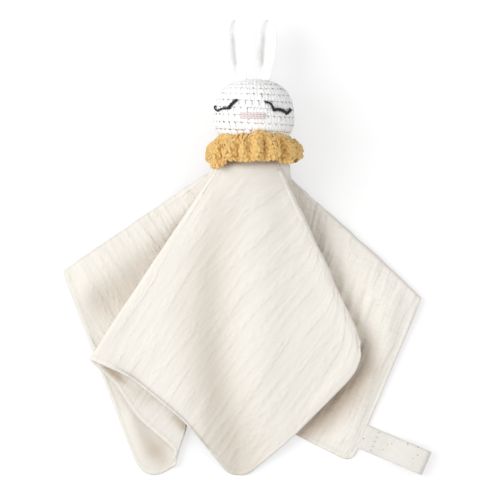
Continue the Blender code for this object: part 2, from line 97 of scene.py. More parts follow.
# The hem of the folded square. Each row is a place on the hem: sides counted
# from the front corner, shares of the side across and down from the neck, the
# layer on the way down and at the hem, the angle at which the cloth leaves the
# neck, the fold's turn (1 up, -1 down, 0 none) and the share of corner rounding.
HEM_SHARES = np.array((
    (0.000, -0.036, 0.689, 3.0, 0.0, 0, 0, 0.045),
    (0.130, 0.075, 0.597, 3.0, 2.0, 14, 0, 0.020),
    (0.288, 0.2102, 0.4605, 3.0, 2.8, 38, 0, 0.020),
    (0.326, 0.2238, 0.4260, 3.0, 3.0, 44, 0, 0.014),
    (0.376, 0.2248, 0.3894, 2.5, 2.5, 50, -1, 0.012),
    (0.693, -0.063, 0.509, 1.5, 1.5, 90, -1, 0.010),
    (1.000, 0.205, 0.645, 1.0, 0.0, 108, 0, 0.026),
    (1.385, 0.352, 0.298, 0.5, 0.5, 135, -1, 0.010),
    (1.805, 0.038, 0.551, 0.0, 0.0, 160, 0, 0.050),
    (2.000, -0.082, 0.555, 0.0, 0.0, 180, 0, 0.050),
    (2.154, -0.190, 0.551, 0.0, 0.0, 205, 0, 0.050),
    (2.535, -0.400, 0.243, 0.5, 0.5, 236, 1, 0.008),
    (2.935, -0.2478, 0.6425, 1.0, 0.0, 252, 0, 0.014),
    (2.962, -0.2332, 0.6624, 1.0, 0.0, 253, 0, 0.014),
    (2.980, -0.2175, 0.6714, 1.0, 0.0, 254, 0, 0.014),
    (3.000, -0.1878, 0.6714, 1.0, 0.0, 256, 0, 0.030),
    (3.042, -0.1652, 0.6519, 1.5, 0.8, 264, 1, 0.014),
    (3.100, -0.166, 0.622, 2.0, 1.4, 268, 0, 0.014),
    (3.140, -0.187, 0.603, 2.0, 1.5, 270, 0, 0.014),
    (3.250, -0.241, 0.553, 2.0, 1.8, 278, 0, 0.020),
    (3.420, -0.291, 0.479, 2.0, 2.0, 291, 0, 0.020),
    (3.583, -0.345, 0.427, 2.5, 2.5, 304, 1, 0.010),
    (3.690, -0.259, 0.465, 3.0, 3.0, 318, 0, 0.030),
    (3.840, -0.146, 0.557, 3.0, 3.0, 340, 0, 0.030),
    (3.890, -0.112, 0.598, 3.0, 2.7, 347, 0, 0.020),
    (4.000, -0.036, 0.689, 3.0, 0.0, 360, 0, 0.045),
))
ACROSS, DOWN, LAYER, HEM_LAYER, NECK_ANGLE, FOLD_TURN, ROUNDING = range(1, 8)
RING_FOLD_DEGREES = 3
FOLD_REACH = 0.04

# The flap's right edge bulges: the sides it lies on, then the middle of the bulge
# across and down, its reach and its push, all in shares of the side
FLAP_SIDES = (2.6, 3.5)
FLAP_SWELL = (-0.1464, 0.5630, 0.055, 0.0130)

# How the cloth leaves the neck and comes down: rings round the neck with half
# width, half height, drop and shift in shares of the head's radius
DRAPE_SHARE = 0.66
NECK_RING_SHARES = (
    (0.115, 0.115, 0.000, 0.00),
    (0.320, 0.300, 0.055, 0.00),
    (0.600, 0.420, 0.120, 0.02),
    (0.860, 0.490, 0.185, 0.06),
    (0.940, 0.470, 0.290, 0.09),
)
SIDE_DROP_SHARE = 0.62
LANDING_UNDER = 0.045
LANDING_OVER = 0.100
NECK_FLAT_SHARE = 0.10

# How finely the cloth is sampled
SPOKE_STEP = 0.0090
FOLD_TURNS = (-1.0, -0.75, -0.5, -0.25, 0.0, 0.25, 0.5, 0.75, 1.0)
FOLD_FILL_STEPS = 4
SKIRT_RINGS = 84
HEM_LANDING = 0.013
HEM_DEPTHS = (0.0062, 0.0046, 0.0034, 0.0025, 0.0021, 0.0010, 0.0004, 0.0)
HEM_SWELLS = (1.00, 0.99, 0.88, 1.08, 1.14, 1.08, 0.74, 0.30)
# Darker towards the hem: partly the seam's own colour, partly painted shade in the hem's groove
HEM_SEAM_AND_PAINTED_SHADE = (0.0, 0.1, 0.25, 0.1, 0.0, 0.0, 0.0, 0.1)
HEM_CALMS = (0.7, 0.5, 0.4, 0.35, 0.3, 0.25, 0.2, 0.2)
LINING_STEP = 0.0010
LINING_RINGS = 4

# The closed eyes and the nose: degrees round the head from straight up, and
# height above the widest part in shares of the crown's height
EYE_LEFT_SHARES = (
    (-76, 0.341), (-63, 0.216), (-50, 0.276), (-38, 0.284), (-33, 0.394), (-27, 0.473),
)
EYE_RIGHT_SHARES = (
    (17, 0.428), (24, 0.405), (29, 0.231), (36, 0.254), (48, 0.200), (52, 0.150), (64, 0.260),
)
EYE_LEFT_WEIGHTS = (0.75, 0.85, 1.0, 1.25, 1.2)
EYE_RIGHT_WEIGHTS = (0.9, 1.0, 1.25, 1.3, 1.15, 1.15)
NOSE_SHARES = ((-20, 0.105), (-9, 0.100), (3, 0.098), (15, 0.095))
EYE_STAND_OFF = 0.0006
EYE_SUNK_ENDS = 0.0016
NOSE_LIFTS = (-0.0013, 0.0, 0.0013)
NOSE_STAND_OFF = 0.0001
NOSE_RADIUS = 0.0008
NOSE_PITCH = 0.0040

# The ring of stitches between the head and the square
KNOT_RADIUS = 0.0034
KNOT_LIFT = 0.0002
KNOT_STITCH_WIDTH = 0.0030
KNOT_YARN_RADIUS = 0.0006
KNOT_SPACING = 0.0018

# The ears
EAR_LENGTH = 0.0365
EAR_HALF_WIDTH = 0.0068
EAR_CUP_DEPTH = 0.0042
EAR_ROOT_RADIUS = 0.0019
EAR_SKIN = 0.0009
EAR_GROOVE_SHIFT = -0.35
EAR_ROWS = 11
EAR_CROWN_GAP = 0.0003
EAR_ROOT_DEPTH = 0.0044
EAR_TIP_DROP = 0.0008
EAR_THICKNESS = 0.0028
EAR_STITCH_BED = 0.0016
EAR_STITCH = (0.0033, 0.0036)
EAR_DROOP = math.radians(12)
EAR_PLACES = {
    "ear_left": (-0.0090, 0.0046, math.radians(5)),
    "ear_right": (0.0067, 0.0046, math.radians(-4)),
}
EAR_OUTLINE_SHARES = np.array((
    (0.00, 0.66), (0.12, 0.74), (0.28, 0.90), (0.48, 1.00), (0.66, 0.98),
    (0.78, 0.88), (0.87, 0.72), (0.93, 0.56), (0.97, 0.38), (1.00, 0.10),
))

# The ruffle's creases: degrees round the neck from straight up, and depth
RUFFLE_CREASES = np.array((
    (-170, 0.8), (-143, 0.9), (-115, 0.8), (-83, 0.8), (-48, 1.0), (-21, 0.7),
    (-5, 0.5), (14, 0.8), (41, 1.0), (68, 0.7), (96, 0.9), (124, 0.8), (152, 0.9),
))
RUFFLE_ROUNDS = 7
RUFFLE_THICKNESS = 0.0012
RUFFLE_STITCH = (0.0030, 0.0032)
RUFFLE_STITCH_SEAT = 0.0002
RUFFLE_WOBBLE = 0.6

# The ruffle's top edge on the head, with what it gains at the front and at its peak
RUFFLE_TOP = 0.0076
RUFFLE_FRONT_RISE = 0.0050
RUFFLE_PEAK_RISE = 0.0022
RUFFLE_TOP_WANDER = 0.0014

# Its lower edge, with the two tails that hang lower and the lift at the right
RUFFLE_DROP = 0.0032
RUFFLE_HEM_WANDER = 0.0011
RUFFLE_TAIL_DROP = 0.0052
RUFFLE_RIGHT_LIFT = 0.0030

# How far out it stands from the neck line
RUFFLE_SNUG_GAP = 0.0013
RUFFLE_HEM_RADIUS = 0.0286
RUFFLE_CREST_HEIGHT = 0.0052
RUFFLE_BELLY = 0.0022
RUFFLE_HEAD_GAP = 0.0010
RUFFLE_LOWEST = 0.0006

# The tape loop
TAPE_WIDTH = 0.0160
TAPE_THICKNESS = 0.0008
TAPE_REACH = 0.0435
TAPE_EYE_HEIGHT = 0.0052
TAPE_ROOT_GAP = 0.0006
TAPE_FROM_CORNER = 0.0184
TAPE_FLAT_SHARE = 0.30
TAPE_LOOP_FULLNESS = 1.6
TAPE_LEG_GAP = 0.0003
TAPE_ROOT_DEPTH = 0.0016
TACK_RADIUS = 0.00026
TACK_ARCH = ((-0.0011, -0.0004), (-0.0006, 0.00025), (0.0006, 0.00025), (0.0011, -0.0004))

# The stage: lamps with their place, size and power, and the camera overhead
FLOOR_SIZE = 3.0
FLOOR_GREY = 0.42
FLOOR_GLOW = 0.60
SKY_STRENGTH = 0.66
LAMPS = (
    ("window", (-1.6, 0.3, 1.35), 1.4, 27.5),
    ("fill", (1.8, -0.5, 0.9), 1.6, 8.0),
)
VIEW_WIDTH = 0.320
VIEW_CENTRE = (0.00171, -0.00177)
VIEW_DISTANCE = 8.0


def ease(share):
    share = np.clip(share, 0.0, 1.0)
    return share * share * (3 - 2 * share)


def reach_along(points):
    """How far along a line each of its points lies."""
    reach = [0.0]
    for before, after in zip(points, points[1:]):
        reach.append(reach[-1] + (after - before).length)
    return reach


def place_along(points, reach, wanted):
    return Vector([np.interp(wanted, reach, [p[axis] for p in points]) for axis in range(3)])


def way_at(points, index):
    """Direction of a line at one of its points."""
    return (points[min(index + 1, len(points) - 1)] - points[max(index - 1, 0)]).normalized()


def square_to(along):
    """A direction at a right angle to the given one."""
    other = Vector((0, 0, 1)) if abs(along.z) < 0.9 else Vector((1, 0, 0))
    return along.cross(other).normalized()


def round_neck(turn, radius, along):
    """A place at an angle round the neck line, counted from straight up."""
    return NECK + Vector((radius * math.sin(turn), along, radius * math.cos(turn)))


def new_piece(name, data):
    piece = bpy.data.objects.new(name, data)
    bpy.context.scene.collection.objects.link(piece)
    return piece


def mesh_of(name, verts, faces, smooth=True):
    mesh = bpy.data.meshes.new(name)
    mesh.from_pydata([tuple(v) for v in verts], [], faces)
    mesh.update()
    if smooth:
        mesh.shade_smooth()
    return mesh


def face_outwards(mesh):
    bm = bmesh.new()
    bm.from_mesh(mesh)
    bmesh.ops.recalc_face_normals(bm, faces=bm.faces)
    bm.to_mesh(mesh)
    bm.free()


def capped_tube(name, start, rings, end):
    """A closed mesh over rings of places, with a pole at each end."""
    count = len(rings[0])
    verts = [start] + [p for ring in rings for p in ring] + [end]
    last = len(verts) - 1
    faces = []
    for step in range(count):
        after = (step + 1) % count
        faces.append((0, 1 + step, 1 + after))
        for low in range(1, last - count, count):
            high = low + count
            faces.append((low + step, high + step, high + after, low + after))
        faces.append((last - count + after, last - count + step, last))
    mesh = mesh_of(name, verts, faces)
    face_outwards(mesh)
    return mesh


def keep_above_ground(mesh):
    for vert in mesh.vertices:
        vert.co.z = max(vert.co.z, LOWEST_YARN)


def add_strand(bm, uv_layer, points, radii, sides):
    """A closed round strand along points, with its length and turn kept as UVs."""
    points = [Vector(p) for p in points]
    lengths = [length * UV_PER_METRE for length in reach_along(points)]
    turns = [math.tau * step / sides for step in range(sides)]
    rings = []
    side_way = None
    for index, (point, radius) in enumerate(zip(points, radii)):
        along = way_at(points, index)
        if side_way is None:
            side_way = square_to(along)
        side_way = (side_way - along * side_way.dot(along)).normalized()
        third = along.cross(side_way)
        ways = [side_way * math.cos(turn) + third * math.sin(turn) for turn in turns]
        rings.append([bm.verts.new(point + way * radius) for way in ways])
    for index, (lower, upper) in enumerate(zip(rings, rings[1:])):
        low, high = lengths[index], lengths[index + 1]
        for step in range(sides):
            after = (step + 1) % sides
            face = bm.faces.new((lower[step], lower[after], upper[after], upper[step]))
            corners = ((step, low), (step + 1, low), (step + 1, high), (step, high))
            for loop, (turn, length) in zip(face.loops, corners):
                loop[uv_layer].uv = (turn / sides, length)
    for ring, end in ((rings[0], points[0]), (rings[-1], points[-1])):
        middle = bm.verts.new(end)
        for step in range(sides):
            bm.faces.new((ring[step], ring[(step + 1) % sides], middle))


def strands_mesh(name, strands, sides=8):
    bm = bmesh.new()
    uv_layer = bm.loops.layers.uv.new("UVMap")
    for points, radii in strands:
        add_strand(bm, uv_layer, points, radii, sides)
    for face in bm.faces:
        face.smooth = True
    bmesh.ops.recalc_face_normals(bm, faces=bm.faces)
    mesh = bpy.data.meshes.new(name)
    bm.to_mesh(mesh)
    bm.free()
    return mesh


def smooth_line(points, count):
    """Points spread evenly along a Catmull-Rom line through the given ones."""
    points = [Vector(p) for p in points]
    padded = [points[0] * 2 - points[1]] + points + [points[-1] * 2 - points[-2]]
    fine = []
    for a, b, c, d in zip(padded, padded[1:], padded[2:], padded[3:]):
        for step in range(LINE_STEPS):
            t = step / LINE_STEPS
            fine.append(0.5 * (
                2 * b + (c - a) * t + (2 * a - 5 * b + 4 * c - d) * t ** 2
                + (3 * b - a - 3 * c + d) * t ** 3))
    fine.append(points[-1])
    reach = reach_along(fine)
    return [place_along(fine, reach, wanted) for wanted in np.linspace(0, reach[-1], count)]


def new_material(name, colour, roughness, sheen):
    material = bpy.data.materials.new(name)
    material.use_nodes = True
    shader = material.node_tree.nodes["Principled BSDF"]
    for socket, value in (("Base Color", (*colour, 1.0)), ("Roughness", roughness),
                          ("Sheen Weight", sheen), ("Sheen Roughness", 0.5),
                          ("Specular IOR Level", 0.2)):
        shader.inputs[socket].default_value = value
    return material, material.node_tree, shader


def math_node(tree, operation, first, second=None):
    node = tree.nodes.new("ShaderNodeMath")
    node.operation = operation
    for socket, value in zip(node.inputs, (first, second)):
        if value is None:
            continue
        if isinstance(value, (int, float)):
            socket.default_value = value
        else:
            tree.links.new(value, socket)
    return node.outputs[0]


def mix_node(tree, share, low, high):
    """Blends from low to high, each of them a colour or another node's output."""
    node = tree.nodes.new("ShaderNodeMix")
    node.data_type = "RGBA"
    tree.links.new(share, node.inputs["Factor"])
    for key, value in (("A", low), ("B", high)):
        if isinstance(value, tuple):
            node.inputs[key].default_value = (*value, 1.0)
        else:
            tree.links.new(value, node.inputs[key])
    return node.outputs["Result"]


def noise_node(tree, place, scale, detail=2.0):
    node = tree.nodes.new("ShaderNodeTexNoise")
    node.inputs["Scale"].default_value = scale
    node.inputs["Detail"].default_value = detail
    tree.links.new(place, node.inputs["Vector"])
    return node.outputs[0]


def uv_nodes(tree):
    """The place on the UV map, then its two parts."""
    uv = tree.nodes.new("ShaderNodeUVMap")
    uv.uv_map = "UVMap"
    parts = tree.nodes.new("ShaderNodeSeparateXYZ")
    tree.links.new(uv.outputs[0], parts.inputs[0])
    return uv.outputs[0], parts.outputs[0], parts.outputs[1]


def painted(tree, name):
    """A value that the mesh holds at each vertex."""
    node = tree.nodes.new("ShaderNodeAttribute")
    node.attribute_name = name
    return node.outputs["Fac"]


def shade(colour, amount):
    return tuple(min(c * amount, 1.0) for c in colour)


def set_bump(tree, shader, height, strength, distance):
    bump = tree.nodes.new("ShaderNodeBump")
    bump.inputs["Strength"].default_value = strength
    bump.inputs["Distance"].default_value = distance
    tree.links.new(height, bump.inputs["Height"])
    tree.links.new(bump.outputs["Normal"], shader.inputs["Normal"])


def yarn_material(name, colour, plies=3, twist=4.2, dark=0.72, relief=0.7,
                  gap=(0.55, 0.55, 0.55)):
    """Spun yarn: plies that wind round each strand, and short loose fibres."""
    material, tree, shader = new_material(name, colour, 0.85, 0.25)
    calc = partial(math_node, tree)
    _, around, along = uv_nodes(tree)
    wind = calc("ADD", calc("MULTIPLY", around, math.tau * plies),
                calc("MULTIPLY", along, math.tau * twist))
    ply = calc("ABSOLUTE", calc("SINE", calc("MULTIPLY", wind, 0.5)))
    place = tree.nodes.new("ShaderNodeTexCoord").outputs["Object"]
    fuzz = noise_node(tree, place, 2600.0, 3.0)
    blotch = noise_node(tree, place, 160.0)
    set_bump(tree, shader, calc("ADD", ply, calc("MULTIPLY", fuzz, 0.5)), relief, 0.0004)
    # Painted shade and light: the yarn is darker between its plies and lighter on them, with
    # blotches of random tone
    lit = calc("ADD", calc("MULTIPLY", ply, 0.5), calc("MULTIPLY", blotch, 0.8))
    yarn = mix_node(tree, lit, shade(colour, dark), shade(colour, 1.06))
    # Painted shade: where the mesh asks for it, the yarn takes a darker colour, as the shade in the
    # gaps between stitches
    painted_shade_colour = tuple(c * g for c, g in zip(colour, gap))
    yarn = mix_node(tree, painted(tree, "painted_shade_mask"), yarn, painted_shade_colour)
    tree.links.new(yarn, shader.inputs["Base Color"])
    rough = calc("ADD", calc("MULTIPLY", fuzz, 0.12), 0.78)
    tree.links.new(rough, shader.inputs["Roughness"])
    return material


def muslin_material(colour):
    """Double gauze: an open plain weave over fine puckers, faint slubs and painted shade."""
    material, tree, shader = new_material("crinkled_muslin", colour, 0.92, 0.15)
    calc = partial(math_node, tree)
    place, along, across = uv_nodes(tree)
    threads = math.tau * SQUARE_SIDE / THREAD_PITCH
    weave = calc("MULTIPLY", *[calc("SINE", calc("MULTIPLY", way, threads))
                               for way in (along, across)])

    def puckers(waves, shift, detail, turned=0.0):
        """Noise with a number of waves along each side of the flat square."""
        mapping = tree.nodes.new("ShaderNodeMapping")
        mapping.vector_type = "TEXTURE"
        mapping.inputs["Location"].default_value = (*shift, 0)
        mapping.inputs["Scale"].default_value = (1 / waves[0], 1 / waves[1], 1)
        mapping.inputs["Rotation"].default_value = (0, 0, turned)
        tree.links.new(place, mapping.inputs[0])
        return noise_node(tree, mapping.outputs[0], 1.0, detail)

    grain = painted(tree, "grain")
    slanted = math.atan(THREAD_SLANT)
    first = calc("MULTIPLY", puckers((22, 92), (0, 0), 1.2, slanted), grain)
    second = calc("MULTIPLY", puckers((62, 10), (3.1, 7.7), 1.2), calc("SUBTRACT", 1.0, grain))
    dimples = calc("MULTIPLY", puckers((135, 135), (1.3, 5.2), 1.0), calc("MULTIPLY", grain, 0.45))
    rows = calc("SUBTRACT", puckers((7, 58), (4.0, 9.0), 0.0, slanted), 0.46)
    rows = calc("MINIMUM", calc("MAXIMUM", calc("MULTIPLY", rows, 6.0), 0.0), 1.0)
    dots = puckers((78, 118), (2.2, 8.1), 0.0, slanted)
    tucks = calc("MULTIPLY", calc("MULTIPLY", calc("MULTIPLY", rows, grain), dots), 1.3)
    creases = calc("ADD", calc("ADD", first, second), calc("ADD", dimples, tucks))
    slub = puckers((9, 9), (6.0, 2.0), 3.0)
    deep = calc("MULTIPLY", creases, painted(tree, "pucker"))
    set_bump(tree, shader, calc("ADD", deep, calc("MULTIPLY", weave, 0.03)), 0.9, 0.0010)
    # Painted shade and light: the gauze is darker in its creases and lighter on its puckers, and
    # its slubs vary its tone
    share = calc("ADD", calc("MULTIPLY", deep, 0.45), calc("MULTIPLY", slub, 0.35))
    cloth = mix_node(tree, share, shade(colour, 0.93), shade(colour, 1.04))
    # Darker along the hem: partly the seam's own colour, partly painted shade in its groove, with a
    # painted shadow line under the front panel's hem
    seam = calc("MULTIPLY", painted(tree, "seam"), 0.5)
    cloth = mix_node(tree, seam, cloth, shade(colour, 0.62))
    # Painted shade under the folds: the cloth's colour darkened towards the fold tint
    painted_fold_shade = calc("MINIMUM", painted(tree, "shade"), 0.9)
    shaded = tuple(c * s for c, s in zip(colour, PAINTED_FOLD_SHADE_TINT))
    tree.links.new(mix_node(tree, painted_fold_shade, cloth, shaded), shader.inputs["Base Color"])
    rough = calc("ADD", calc("MULTIPLY", slub, 0.12), 0.82)
    tree.links.new(rough, shader.inputs["Roughness"])
    return material


def tape_material(colour, fleck):
    """Unbleached cotton tape: a twill with a few darker seed flecks."""
    material, tree, shader = new_material("cotton_tape", colour, 0.9, 0.1)
    calc = partial(math_node, tree)
    _, along, across = uv_nodes(tree)
    twill = calc("SINE", calc("MULTIPLY", calc("ADD", along, across), math.tau * 12))
    threads = calc("SINE", calc("MULTIPLY", across, math.tau * 24))
    place = tree.nodes.new("ShaderNodeTexCoord").outputs["Object"]
    soft = noise_node(tree, place, 420.0, 4.0)
    seeds = tree.nodes.new("ShaderNodeTexVoronoi")
    seeds.inputs["Scale"].default_value = 330.0
    tree.links.new(place, seeds.inputs["Vector"])
    flecks = calc("MULTIPLY", calc("LESS_THAN", seeds.outputs["Distance"], 0.20),
                  calc("GREATER_THAN", noise_node(tree, place, 190.0), 0.57))
    height = calc("ADD", calc("MULTIPLY", twill, 0.35), calc("MULTIPLY", threads, 0.2))
    set_bump(tree, shader, calc("ADD", height, soft), 0.45, 0.0003)
    ground = mix_node(tree, soft, shade(colour, 0.93), shade(colour, 1.04))
    tree.links.new(mix_node(tree, flecks, ground, fleck), shader.inputs["Base Color"])
    return material


def crochet_tree():
    """Lays one stitch on every place, adds the fabric under it and dyes both."""
    tree = bpy.data.node_groups.new("crochet_rows", "GeometryNodeTree")
    keys = {}
    for name, way, kind in (
            ("Backing", "INPUT", "Geometry"), ("Stitch Places", "INPUT", "Object"),
            ("Stitch", "INPUT", "Object"), ("Stitch Size", "INPUT", "Float"),
            ("Wobble", "INPUT", "Float"), ("Yarn", "INPUT", "Material"),
            ("Crochet", "OUTPUT", "Geometry")):
        socket = tree.interface.new_socket(name=name, in_out=way, socket_type="NodeSocket" + kind)
        keys[name] = socket.identifier
    node, link = tree.nodes.new, tree.links.new
    given, result = node("NodeGroupInput").outputs, node("NodeGroupOutput").inputs

    def object_read(name):
        info = node("GeometryNodeObjectInfo")
        link(given[name], info.inputs["Object"])
        return info.outputs["Geometry"]

    def vector_read(name):
        read = node("GeometryNodeInputNamedAttribute")
        read.data_type = "FLOAT_VECTOR"
        read.inputs["Name"].default_value = name
        return read.outputs["Attribute"]

    def scaled(vector, amount):
        scale = node("ShaderNodeVectorMath")
        scale.operation = "SCALE"
        link(vector, scale.inputs[0])
        link(amount, scale.inputs["Scale"])
        return scale.outputs[0]

    rotation = node("FunctionNodeEulerToRotation")
    link(vector_read("facing"), rotation.inputs["Euler"])
    laid = node("GeometryNodeInstanceOnPoints")
    link(object_read("Stitch Places"), laid.inputs["Points"])
    link(object_read("Stitch"), laid.inputs["Instance"])
    link(rotation.outputs["Rotation"], laid.inputs["Rotation"])
    link(scaled(vector_read("spread"), given["Stitch Size"]), laid.inputs["Scale"])
    chance = node("FunctionNodeRandomValue")
    chance.data_type = "FLOAT_VECTOR"
    chance.inputs["Min"].default_value = (-1, -1, -1)
    chance.inputs["Max"].default_value = (1, 1, 1)
    chance.inputs["Seed"].default_value = WOBBLE_SEED
    turned = node("GeometryNodeRotateInstances")
    link(laid.outputs["Instances"], turned.inputs["Instances"])
    link(scaled(chance.outputs[0], given["Wobble"]), turned.inputs["Rotation"])
    real = node("GeometryNodeRealizeInstances")
    link(turned.outputs["Instances"], real.inputs["Geometry"])
    joined = node("GeometryNodeJoinGeometry")
    link(given["Backing"], joined.inputs["Geometry"])
    link(real.outputs["Geometry"], joined.inputs["Geometry"])
    dyed = node("GeometryNodeSetMaterial")
    link(joined.outputs["Geometry"], dyed.inputs["Geometry"])
    link(given["Yarn"], dyed.inputs["Material"])
    link(dyed.outputs["Geometry"], result["Crochet"])
    return tree, keys


# Centre line (across, along, standing) and radius of one leg of a stitch, in
# shares of its width, height and depth
SINGLE_STITCH = (
    ((0.06, -0.56, -0.50), 0.12), ((0.09, -0.37, -0.06), 0.18), ((0.20, -0.12, 0.03), 0.42),
    ((0.23, 0.18, 0.01), 0.46), ((0.25, 0.40, -0.30), 0.28),
)
BOBBLE_STITCH = (
    ((0.04, -0.52, -0.22), 0.22), ((0.24, -0.26, 0.08), 0.36), ((0.30, 0.04, 0.12), 0.40),
    ((0.18, 0.34, 0.04), 0.34), ((-0.04, 0.50, -0.20), 0.20),
)


def crochet_stitch(shape):
    """One stitch, a metre in every direction: two plump legs of yarn."""
    radii = [radius for _, radius in shape]
    legs = [([Vector((x * side, y, z)) for (x, y, z), _ in shape], radii) for side in (-1, 1)]
    return new_piece("crochet_stitch", strands_mesh("crochet_stitch", legs, STITCH_SIDES))


def stitch_places(name, rows):
    """rows hold (place, across, outwards, width, height, depth)."""
    mesh = mesh_of(name, [row[0] for row in rows], [], smooth=False)
    facing, spread = [], []
    for _, across, outwards, width, height, depth in rows:
        z_way = Vector(outwards).normalized()
        y_way = z_way.cross(Vector(across).normalized()).normalized()
        turn = Matrix((y_way.cross(z_way), y_way, z_way)).transposed()
        facing += list(turn.to_euler("XYZ"))
        spread += [width, height, depth]
    for title, values in (("facing", facing), ("spread", spread)):
        attribute = mesh.attributes.new(title, "FLOAT_VECTOR", "POINT")
        attribute.data.foreach_set("vector", values)
    return new_piece(name, mesh)


def crochet_piece(name, backing, rows, yarn, shape, wobble, painted_shade_mask=None):
    """The backing with its stitches, as one plain mesh.

    The last argument says how much of the painted shade between stitches each vertex of the backing
    takes; all of it if none is given.
    """
    tree, keys = crochet_tree()
    # The backing is painted darker, as the shade seen through the gaps between stitches
    depth = backing.attributes.new("painted_shade_mask", "FLOAT", "POINT")
    depth.data.foreach_set("value", painted_shade_mask or [1.0] * len(backing.vertices))
    piece = new_piece(name, backing)
    places = stitch_places(name + "_places", rows)
    stitch = crochet_stitch(shape)
    maker = piece.modifiers.new("crochet", "NODES")
    maker.node_group = tree
    for key, value in (("Stitch Places", places), ("Stitch", stitch), ("Stitch Size", 1.0),
                       ("Wobble", wobble), ("Yarn", yarn)):
        maker[keys[key]] = value
    bpy.context.view_layer.update()
    seen = piece.evaluated_get(bpy.context.evaluated_depsgraph_get())
    mesh = bpy.data.meshes.new_from_object(seen)
    piece.modifiers.clear()
    piece.data = mesh
    mesh.name = name
    for helper in (places, stitch):
        bpy.data.objects.remove(helper)
    if len(mesh.polygons) < STITCH_SIDES * len(rows):
        raise RuntimeError(f"{name}: the stitches were not laid")
    keep_above_ground(mesh)
    return piece


def head_radius_at(height):
    if height >= 0:
        share, squareness = height / CROWN_HEIGHT, CROWN_SQUARENESS
    else:
        share, squareness = -height / JAW_HEIGHT, JAW_SQUARENESS
    return HEAD_RADIUS * max(1 - min(share, 1.0) ** squareness, 0.0) ** (1 / squareness)


def head_line(count):
    """Radius and height down the head's side, evenly spaced along it, and the spacing."""
    points = []
    for turn in np.linspace(0, math.pi, 721):
        if turn <= math.pi / 2:
            across = (HEAD_RADIUS - HEAD_SKIN) * math.sin(turn) ** (2 / CROWN_SQUARENESS)
            up = (CROWN_HEIGHT - HEAD_SKIN) * max(math.cos(turn), 0.0) ** (2 / CROWN_SQUARENESS)
        else:
            across = (HEAD_RADIUS - HEAD_SKIN) * math.sin(turn)
            up = (JAW_HEIGHT - HEAD_SKIN) * math.cos(turn)
        points.append((across, up))
    points = np.array(points)
    reach = np.concatenate(([0], np.cumsum(np.linalg.norm(np.diff(points, axis=0), axis=1))))
    wanted = np.linspace(0, reach[-1], count)
    return np.interp(wanted, reach, points[:, 0]), np.interp(wanted, reach, points[:, 1]), wanted


def head_backing(inset):
    radii, heights, _ = head_line(34)
    scale = (HEAD_RADIUS - HEAD_SKIN - inset) / (HEAD_RADIUS - HEAD_SKIN)
    columns = 48

    def place(turn, ring):
        return round_neck(turn, radii[ring] * scale, HEAD_WAIST_RISE + heights[ring] * scale)

    rings = [[place(math.tau * step / columns, ring) for step in range(columns)]
             for ring in range(1, len(radii) - 1)]
    top, bottom = (NECK + Vector((0, HEAD_WAIST_RISE + heights[end] * scale, 0)) for end in (0, -1))
    return capped_tube("head_backing", top, rings, bottom)


def head_stitch_rows(width, height, lean):
    """Rounds of stitches down the head, each begun at a random turn."""
    radii, heights, reach = head_line(600)
    rows = []
    chance = random.Random(11)
    start = height * 0.55
    while start < reach[-1] - height * 0.4:
        radius = float(np.interp(start, reach, radii))
        count = max(6, round(math.tau * radius / width))
        offset = chance.random()
        for step in range(count):
            turn = math.tau * (step + offset) / count
            tilt = lean * radius * math.sin(turn)
            along = min(max(start + tilt, STITCH_END_GAP), reach[-1] - STITCH_END_GAP)
            out, up = (float(np.interp(along, reach, values)) for values in (radii, heights))
            out_before, up_before = (float(np.interp(along - SLOPE_STEP, reach, values))
                                     for values in (radii, heights))
            rise = up_before - up
            normal = Vector((rise * math.sin(turn), out - out_before, rise * math.cos(turn)))
            place = round_neck(turn, out - STITCH_SEAT, HEAD_WAIST_RISE + up)
            across = Vector((-math.cos(turn), 0, math.sin(turn)))
            fitted = math.tau * max(radius, width * 0.8) / count
            rows.append((place, across, normal, fitted, height, width * 0.19))
        start += height * 0.93
    return rows


def ear_hinge(x, pinch):
    nearest = max(abs(x) - pinch, 0.0)
    share = nearest / HEAD_RADIUS
    crown = CROWN_HEIGHT * (1 - share ** CROWN_SQUARENESS) ** (1 / CROWN_SQUARENESS)
    return NECK + Vector((x, HEAD_WAIST_RISE + crown + EAR_CROWN_GAP + EAR_ROOT_RADIUS, 0))


def ear_half_width(share):
    return float(np.interp(share, *EAR_OUTLINE_SHARES.T)) * (EAR_HALF_WIDTH - EAR_SKIN)


def ear_ring(share, thickness, points, bumps=0.0):
    """The ear's closed cross-section: (across, along, height) going round it."""
    half_width = ear_half_width(share)
    half_width *= 1 + bumps * abs(math.sin(math.pi * share * EAR_ROWS))
    cup = EAR_CUP_DEPTH * math.sin(math.pi * min(0.12 + share * 0.80, 1.0)) ** 0.7
    fold = 1.0 + 0.6 * (1 - float(ease((share - 0.25) / 0.5)))
    groove = EAR_GROOVE_SHIFT * (1 - float(ease((share - 0.5) / 0.4)))
    ring = []
    for step in range(points):
        turn = math.tau * step / points
        across = math.cos(turn)
        lift = cup * fold * ((abs(across - groove) / (1 + abs(groove))) ** 1.4 * 1.2 - 0.5)
        ring.append(Vector((
            across * half_width, share * EAR_LENGTH, lift + thickness / 2 * math.sin(turn))))
    return ring


def ear_places(x, pinch, lean):
    hinge = ear_hinge(x, pinch)
    turn = Matrix.Rotation(lean, 4, "Z") @ Matrix.Rotation(-EAR_DROOP, 4, "X")
    return hinge, Matrix.Translation(hinge) @ turn


